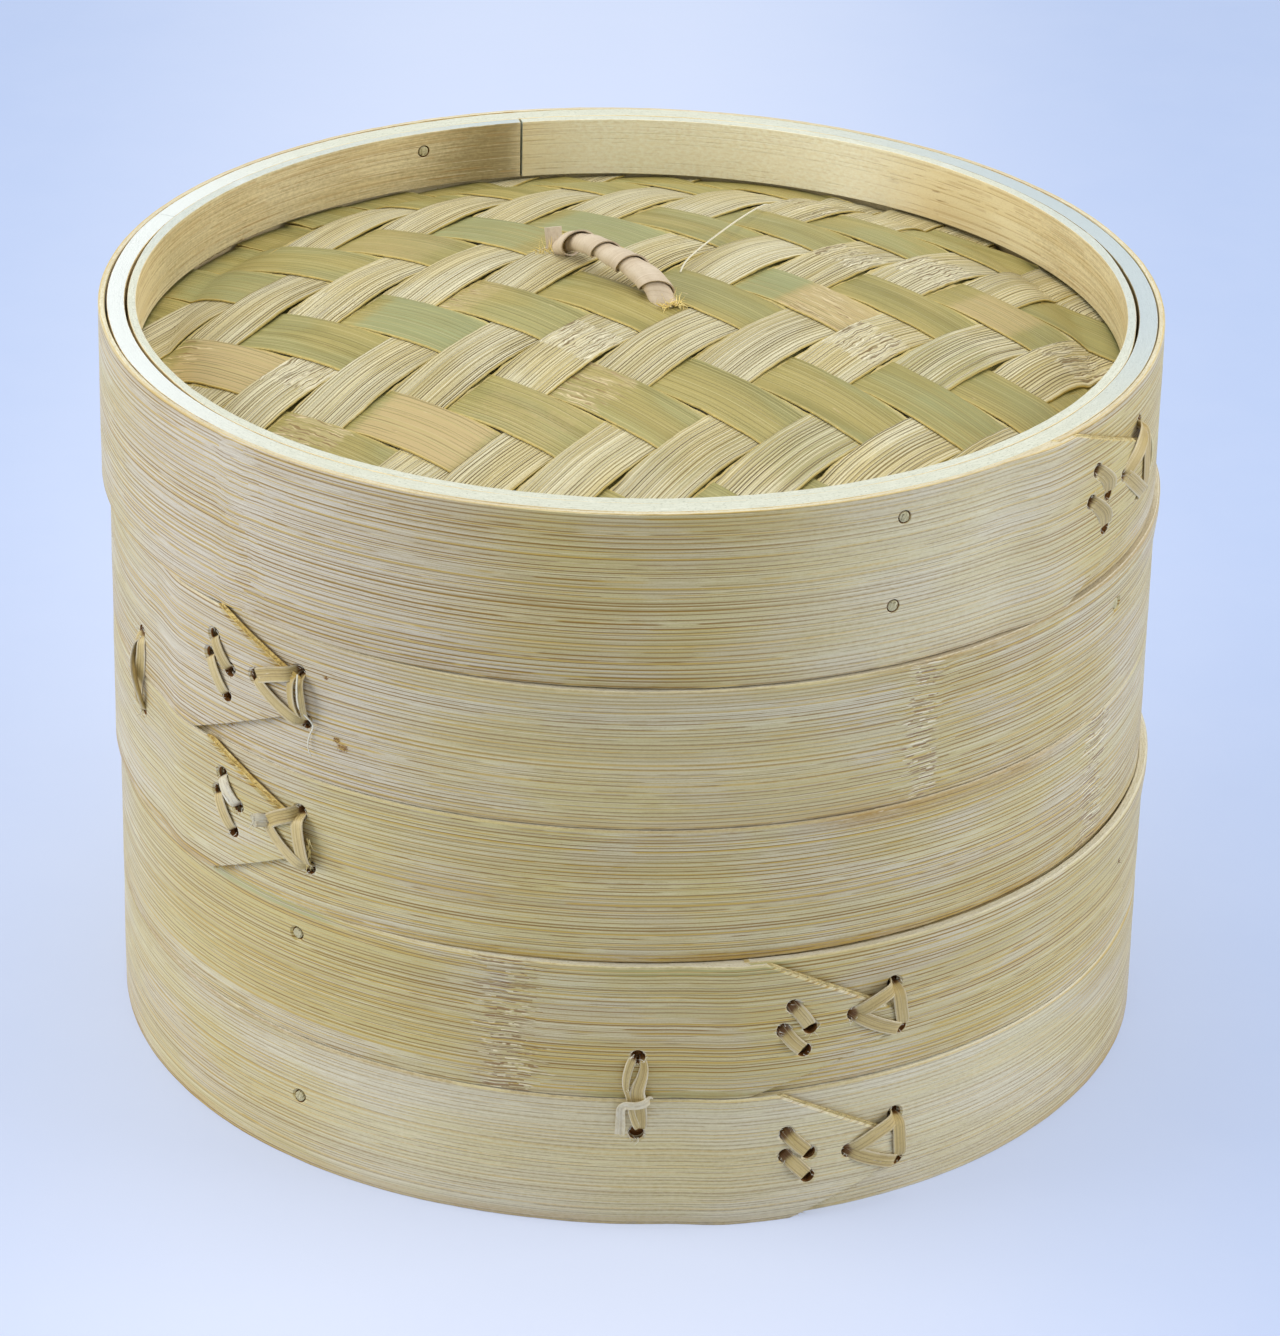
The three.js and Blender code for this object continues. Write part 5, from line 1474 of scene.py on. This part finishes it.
def make_lid():
    tip, tip_rise = 339, 0.9
    tip_z = LID_HEIGHT / 2 + tip_rise
    pegs = {"upper": (298.9, LID_HEIGHT - 5.3), "lower": (298.0, LID_HEIGHT - 22.8)}
    inner_peg = (117.3, 30.2)
    lap_band("lid_band", "lid_outer_band", LID, LID_RADIUS, 0.0, LID_HEIGHT, tip, LID_LAP, LID_LACE,
             pegs.values(), [], lid_band_mask, lid_lean, 10, (226,), 0.45, "pale_end", 0.65,
             tip_rise=tip_rise, edge_look="cut")
    hoop_look = ["hoop", "mint", "mint", "hole"]
    pockets = [(tip + math.degrees(dx / LID_RADIUS), tip_z + dz, LACE_HOLE)
               for dx, dz in lace_holes(LID_LACE)]
    hoop("lid_hoop", "lid_middle_hoop", LID, 98.9, 102.64, 5.1, LID_HEIGHT, 159, hoop_look, 21, pockets,
         [(a, z, PEG_HOLE) for a, z in pegs.values()], waver=0.05, outside=rim_shade_and_light_mask, slit=0.04,
         gap_at=lambda a: 0.35 * arc_part(a, 168, 196, 6) + 0.15 * arc_part(a, 350, 380, 8))
    hoop("lid_inner_hoop", "lid_upper_inner_hoop", LID, 96.65, 98.84, 22.1, LID_HEIGHT, 104.4, hoop_look,
         22, holes=[(*inner_peg, PEG_HOLE)], outside=inner_hoop_mask, inside=inner_hoop_mask, waver=0.04,
         gap_at=lambda a: 0.55 * arc_part(a, 168, 214, 8) + 0.5 * arc_part(a, 348, 374, 6))
    hoop("lid_clamp_hoop", "lid_lower_inner_hoop", LID, 96.65, 98.6, 5.1, 18.4, 284.4, hoop_look, 23)
    lacing("lid_rattan", "lid_lacing", LID, LID_RADIUS, tip, tip_z, LID_LACE, 30, leaf=True)
    for k, (side, (angle, z)) in enumerate(pegs.items()):
        peg(f"lid_{side}_pin", f"lid_{side}_peg", LID, angle, z, LID_RADIUS, 98.9, 70 + k)
    peg("inner_hoop_pin", "lid_inner_hoop_peg", LID, *inner_peg, 96.65, 102.4, 73, inward=True)
    make_weave()
    make_handle()


def blank_mask(angle, z):
    return np.zeros(np.broadcast(angle, z).shape + (4,))


def edge_mask(angle, z, height, seed, low_edge=0.5, high_edge=0.2):
    """Golden staining along a band's two long edges, stronger in some places than in others."""
    out = blank_mask(angle, z)
    swing = waves(seed, 90, 4)(angle)
    out[..., 2] = low_edge * (0.8 + 0.5 * swing) * (1 - smoothstep(z, 0.4, 3.4))
    out[..., 2] += high_edge * (0.6 + 0.6 * swing) * smoothstep(z, height - 2.6, height - 0.4)
    return out


def tinge(out, angle, first, last, soft, strength, warm=False):
    """Makes a stretch of a band's ground cooler or warmer."""
    channel = 2 if warm else 0
    out[..., channel] -= strength * arc_part(angle, first, last, soft) * (out[..., channel] <= 0.05)


def make_paler(out, angle, first, last, soft, strength):
    out[..., 3] = np.maximum(out[..., 3], strength * arc_part(angle, first, last, soft))


def lid_band_mask(angle, z):
    out = edge_mask(angle, z, LID_HEIGHT, 501, 0.35, 0.4)
    make_paler(out, angle, 284, 318, 10, 0.4)
    tinge(out, angle, 205, 258, 12, 0.9)
    tinge(out, angle, 322, 360, 10, 0.9, warm=True)
    return out


def node_mark(out, angle, z, middle, spread, strength=1.0):
    """A joint of the bamboo stem: a narrow upright patch of broken fibres."""
    lean = middle + 0.5 * np.sin(z / 3.1)
    out[..., 1] = np.maximum(out[..., 1], strength * bump_at(np.mod(angle, 360), lean, spread))


def upper_tier_top_mask(angle, z):
    out = edge_mask(angle, z, UPPER_BAND, 511, 0.5, 0.3)
    node_mark(out, angle, z, 301.5, 2.1, 0.95)
    out[..., 2] += 0.5 * arc_part(angle, 298, 350, 8) * smoothstep(z, UPPER_BAND - 1, UPPER_BAND)
    tinge(out, angle, 205, 250, 12, 0.8)
    make_paler(out, angle, 252, 296, 12, 0.2)
    return out


def upper_tier_low_mask(angle, z):
    out = edge_mask(angle, z, LOWER_BAND, 512, 0.6, 0.3)
    node_mark(out, angle, z, 330.5, 3.0, 1.0)
    out[..., 2] += 0.5 * arc_part(angle, 290, 322, 6) * smoothstep(z, 18, 27)
    return out


def lower_tier_top_mask(angle, z):
    out = edge_mask(angle, z, UPPER_BAND, 513, 0.4, 0.2)
    node_mark(out, angle, z, 257.5, 3.4, 0.95)
    patches = arc_part(angle, 216, 238, 4) + arc_part(angle, 266, 288, 5)
    out[..., 0] = 0.7 * patches * smoothstep(z, 25.2, 27.0)
    out[..., 0] += 0.65 * arc_part(angle, 264, 288, 5) * (1 - smoothstep(z, 0.8, 2.4))
    tinge(out, angle, 205, 252, 12, 0.9, warm=True)
    tinge(out, angle, 318, 352, 10, 0.7, warm=True)
    return out


def lower_tier_low_mask(angle, z):
    out = edge_mask(angle, z, LOWER_BAND, 514, 0.7, 0.3)
    # A paler front of the lowest band: painted light bounced up from the floor.
    make_paler(out, angle, 236, 325, 14, 0.45)
    return out


def seam_shade_mask(angle, z):
    """Painted shade in the two seams in front of a tier's wall."""
    out = blank_mask(angle, z)
    out[..., 2] = bump_at(z, SEAM, 1.1) + bump_at(z, 58.2, 0.9)
    return out


def inner_hoop_mask(angle, z):
    out = blank_mask(angle, z)
    node_mark(out, angle, z, 146, 1.6, 0.45)
    node_mark(out, angle, z, 49, 1.2, 0.35)
    turn = np.mod(angle, 360)
    out[..., 2] = 0.8 * smoothstep(turn, 104, 105) * (1 - smoothstep(turn + 0.25 * (z - 28), 108, 128))
    out[..., 2] += 0.42 * arc_part(angle, 122, 172, 8) + 0.4 * arc_part(angle, -12, 34, 8)
    # A paler far wall: partly a paler piece of the strip, partly painted light on a wall the lamps leave
    # dim.
    make_paler(out, angle, 56, 101, 8, 0.9)
    return out


def tier_flare(angle, z):
    """The upper band's lean: out at its top and slightly in at its foot, round the front."""
    top = 0.8 * arc_part(angle, 248, 372, 14) + 0.3 * arc_part(angle, 222, 274, 8)
    return top * smoothstep(z, 18, 28) - 0.15 * front_part(angle) * (1 - smoothstep(z, 0, 4))


def tier_draw(angle, z):
    """The lower band's lean: out at the seam and in at its foot."""
    seam = 0.3 * arc_part(angle, 210, 340, 12) * smoothstep(z, 23, 28)
    return seam - 0.6 * front_part(angle) * (1 - smoothstep(z, 0, 5.5))


def make_tier(prefix, place, seed, tip, tie_angle, wrapped, pegs, cut_look, slant, bands):
    sides = {
        "lower": {"base": 0.0, "height": LOWER_BAND, "lean": tier_draw, "bright_top": 0.8, "top_up": 0.0},
        "upper": {"base": UPPER_BAND_FOOT, "height": UPPER_BAND, "lean": tier_flare, "bright_top": 1.0,
                  "top_up": 0.35},
    }
    ties = [(angle, SEAM + level) for angle in (tie_angle, tie_angle + 180) for level in TIE_HOLES]
    pockets = [(angle, z, LACE_HOLE) for angle, z in ties]
    for k, (side, form) in enumerate(sides.items()):
        band = dict(bands[side])
        lace, lace_look = band["lace"], band.pop("lace_look")
        base, height = form["base"], form["height"]
        middle = base + height / 2

        def on_this(spots):
            return [(angle, z) for angle, z in spots if base < z < base + height]

        lap_band(f"{prefix}_{side}_strip", f"{prefix}_{side}_band", place, TIER_RADIUS, tip=tip,
                 seed=seed + 7 * k, pegs=on_this(pegs.values()), ties=on_this(ties), bevel=0.4,
                 cut_look=cut_look, slant=slant, **form, **band)
        lacing(f"{prefix}_{side}_rattan", f"{prefix}_{side}_lacing", place, TIER_RADIUS, tip, middle, lace,
               seed + 40 + 7 * k, **lace_look)
        pockets += [(tip + math.degrees(dx / TIER_RADIUS), middle + dz, LACE_HOLE)
                    for dx, dz in lace_holes(lace)]
    hoop_look = ["wall", "mint", "end", "hole"]
    wall_inside, wall_outside, wall_foot, wall_top = 98.3, 101.8, 5.8, 62.6
    lip = (UPPER_BAND_FOOT + UPPER_BAND, 100.6)
    ring_inside, ring_outside, ring_foot, ring_top = 95.4, 98.0, 6.4, 13.4
    hoop(f"{prefix}_wall", f"{prefix}_wall_hoop", place, wall_inside, wall_outside, wall_foot, wall_top,
         tip + 180, hoop_look, seed + 60, pockets, [(a, z, PEG_HOLE) for a, z in pegs.values()],
         lip=lip, outside=seam_shade_mask, inside=blank_mask)
    hoop(f"{prefix}_ring", f"{prefix}_floor_ring", place, ring_inside, ring_outside, ring_foot, ring_top,
         tip + 90, hoop_look, seed + 61)
    tie(f"{prefix}_front_binding", f"{prefix}_front_tie", place, tie_angle, seed + 70, wrapped)
    tie(f"{prefix}_back_binding", f"{prefix}_back_tie", place, tie_angle + 180, seed + 73)
    for k, (name, (angle, z)) in enumerate(pegs.items()):
        peg(f"{prefix}_{name}_pin", f"{prefix}_{name}_peg", place, angle, z, TIER_RADIUS, wall_inside,
            seed + 80 + k)
    grate(f"{prefix}_slats", f"{prefix}_floor_grate", place, seed + 90)


def grate(name, node, place, seed):
    """The tier's floor: slats over two battens, cut to the wall and to the floor ring."""
    shape = Shape()
    wall, ring = 97.7, 95.1
    slat_pitch, slat_width, slat_thickness, slat_z = 21.5, 13.9, 1.7, 14.6
    batten_place, batten_width, batten_thickness, batten_z = 36, 11.9, 2.3, 12.6
    for k in range(-4, 5):
        offset = slat_pitch * k
        half = math.sqrt(wall**2 - (abs(offset) + 7.0) ** 2) - 0.2
        wave = waves(seed + k, 120, 3)
        ys = np.linspace(-half, half, 40)
        xs = place["x"] + offset + 0.15 * wave(ys)
        path = np.column_stack([xs, ys, place["z"] + slat_z + 0.03 * wave(ys + 60)])
        ribbon(shape, path, (1, 0, 0), slat_width, slat_thickness, seed + k, sides=20)
    for k, offset in enumerate((-batten_place, batten_place)):
        half = math.sqrt(ring**2 - (batten_place + 6.0) ** 2) - 0.6
        xs = place["x"] + np.linspace(-half, half, 40)
        path = np.column_stack(np.broadcast_arrays(xs, float(offset), place["z"] + batten_z))
        ribbon(shape, path, (0, -1, 0), batten_width, batten_thickness, seed + 20 + k, sides=20)
    shape.piece(name, ["slat"], place["body"], "floor_slat", node)


bpy.context.scene.view_settings.view_transform = "Standard"
add_camera()
add_world()
add_lamps()
add_floor()
FINISHES = make_finishes()
make_lid()

# The tiers: their pegs by azimuth and height, and how each of their two bands looks
upper_tier_pegs = {"side": (334.0, UPPER_BAND_FOOT + 20.6)}
make_tier("upper_tier", UPPER, 400, 234.2, 204.5, False, upper_tier_pegs, "end", 0.95, {
    "upper": {
        "lap": UPPER_TIER_LAPS["upper"], "lace": UPPER_TIER_LACES["upper"], "mask": upper_tier_top_mask,
        "lace_look": {"doubled": True, "thread": True}, "joints": (301.5, 20), "low_down": 0.2,
        "scars": [(239.2, 8.2, 1.3), (238.6, 9.4, 0.8), (237.2, 21.6, 0.5), (221.2, 3.6, 1.6),
                  (223.4, 4.6, 1.4)]},
    "lower": {
        "lap": UPPER_TIER_LAPS["lower"], "lace": UPPER_TIER_LACES["lower"], "mask": upper_tier_low_mask,
        "lace_look": {"torn": True}, "joints": (330.5, 120), "low_down": 0.12,
        "scars": [(216.5, 13.5, 0.6)]},
})
lower_tier_pegs = {"upper": (232.5, UPPER_BAND_FOOT + 22.0), "lower": (232.6, 14.5)}
make_tier("lower_tier", LOWER, 600, 299.8, 271.2, True, lower_tier_pegs, "pale_end", 0.55, {
    "upper": {
        "lap": LOWER_TIER_LAPS["upper"], "lace": LOWER_TIER_LACES["upper"], "mask": lower_tier_top_mask,
        "lace_look": {"leave": SLOPE}, "joints": (257.5, 50), "low_down": 0.2,
        "scars": [(339.2, 17.2, 0.6)]},
    "lower": {
        "lap": LOWER_TIER_LAPS["lower"], "lace": LOWER_TIER_LACES["lower"], "mask": lower_tier_low_mask,
        "lace_look": {"leave": SLOPE}, "joints": (5, 150), "low_down": 0.0},
})
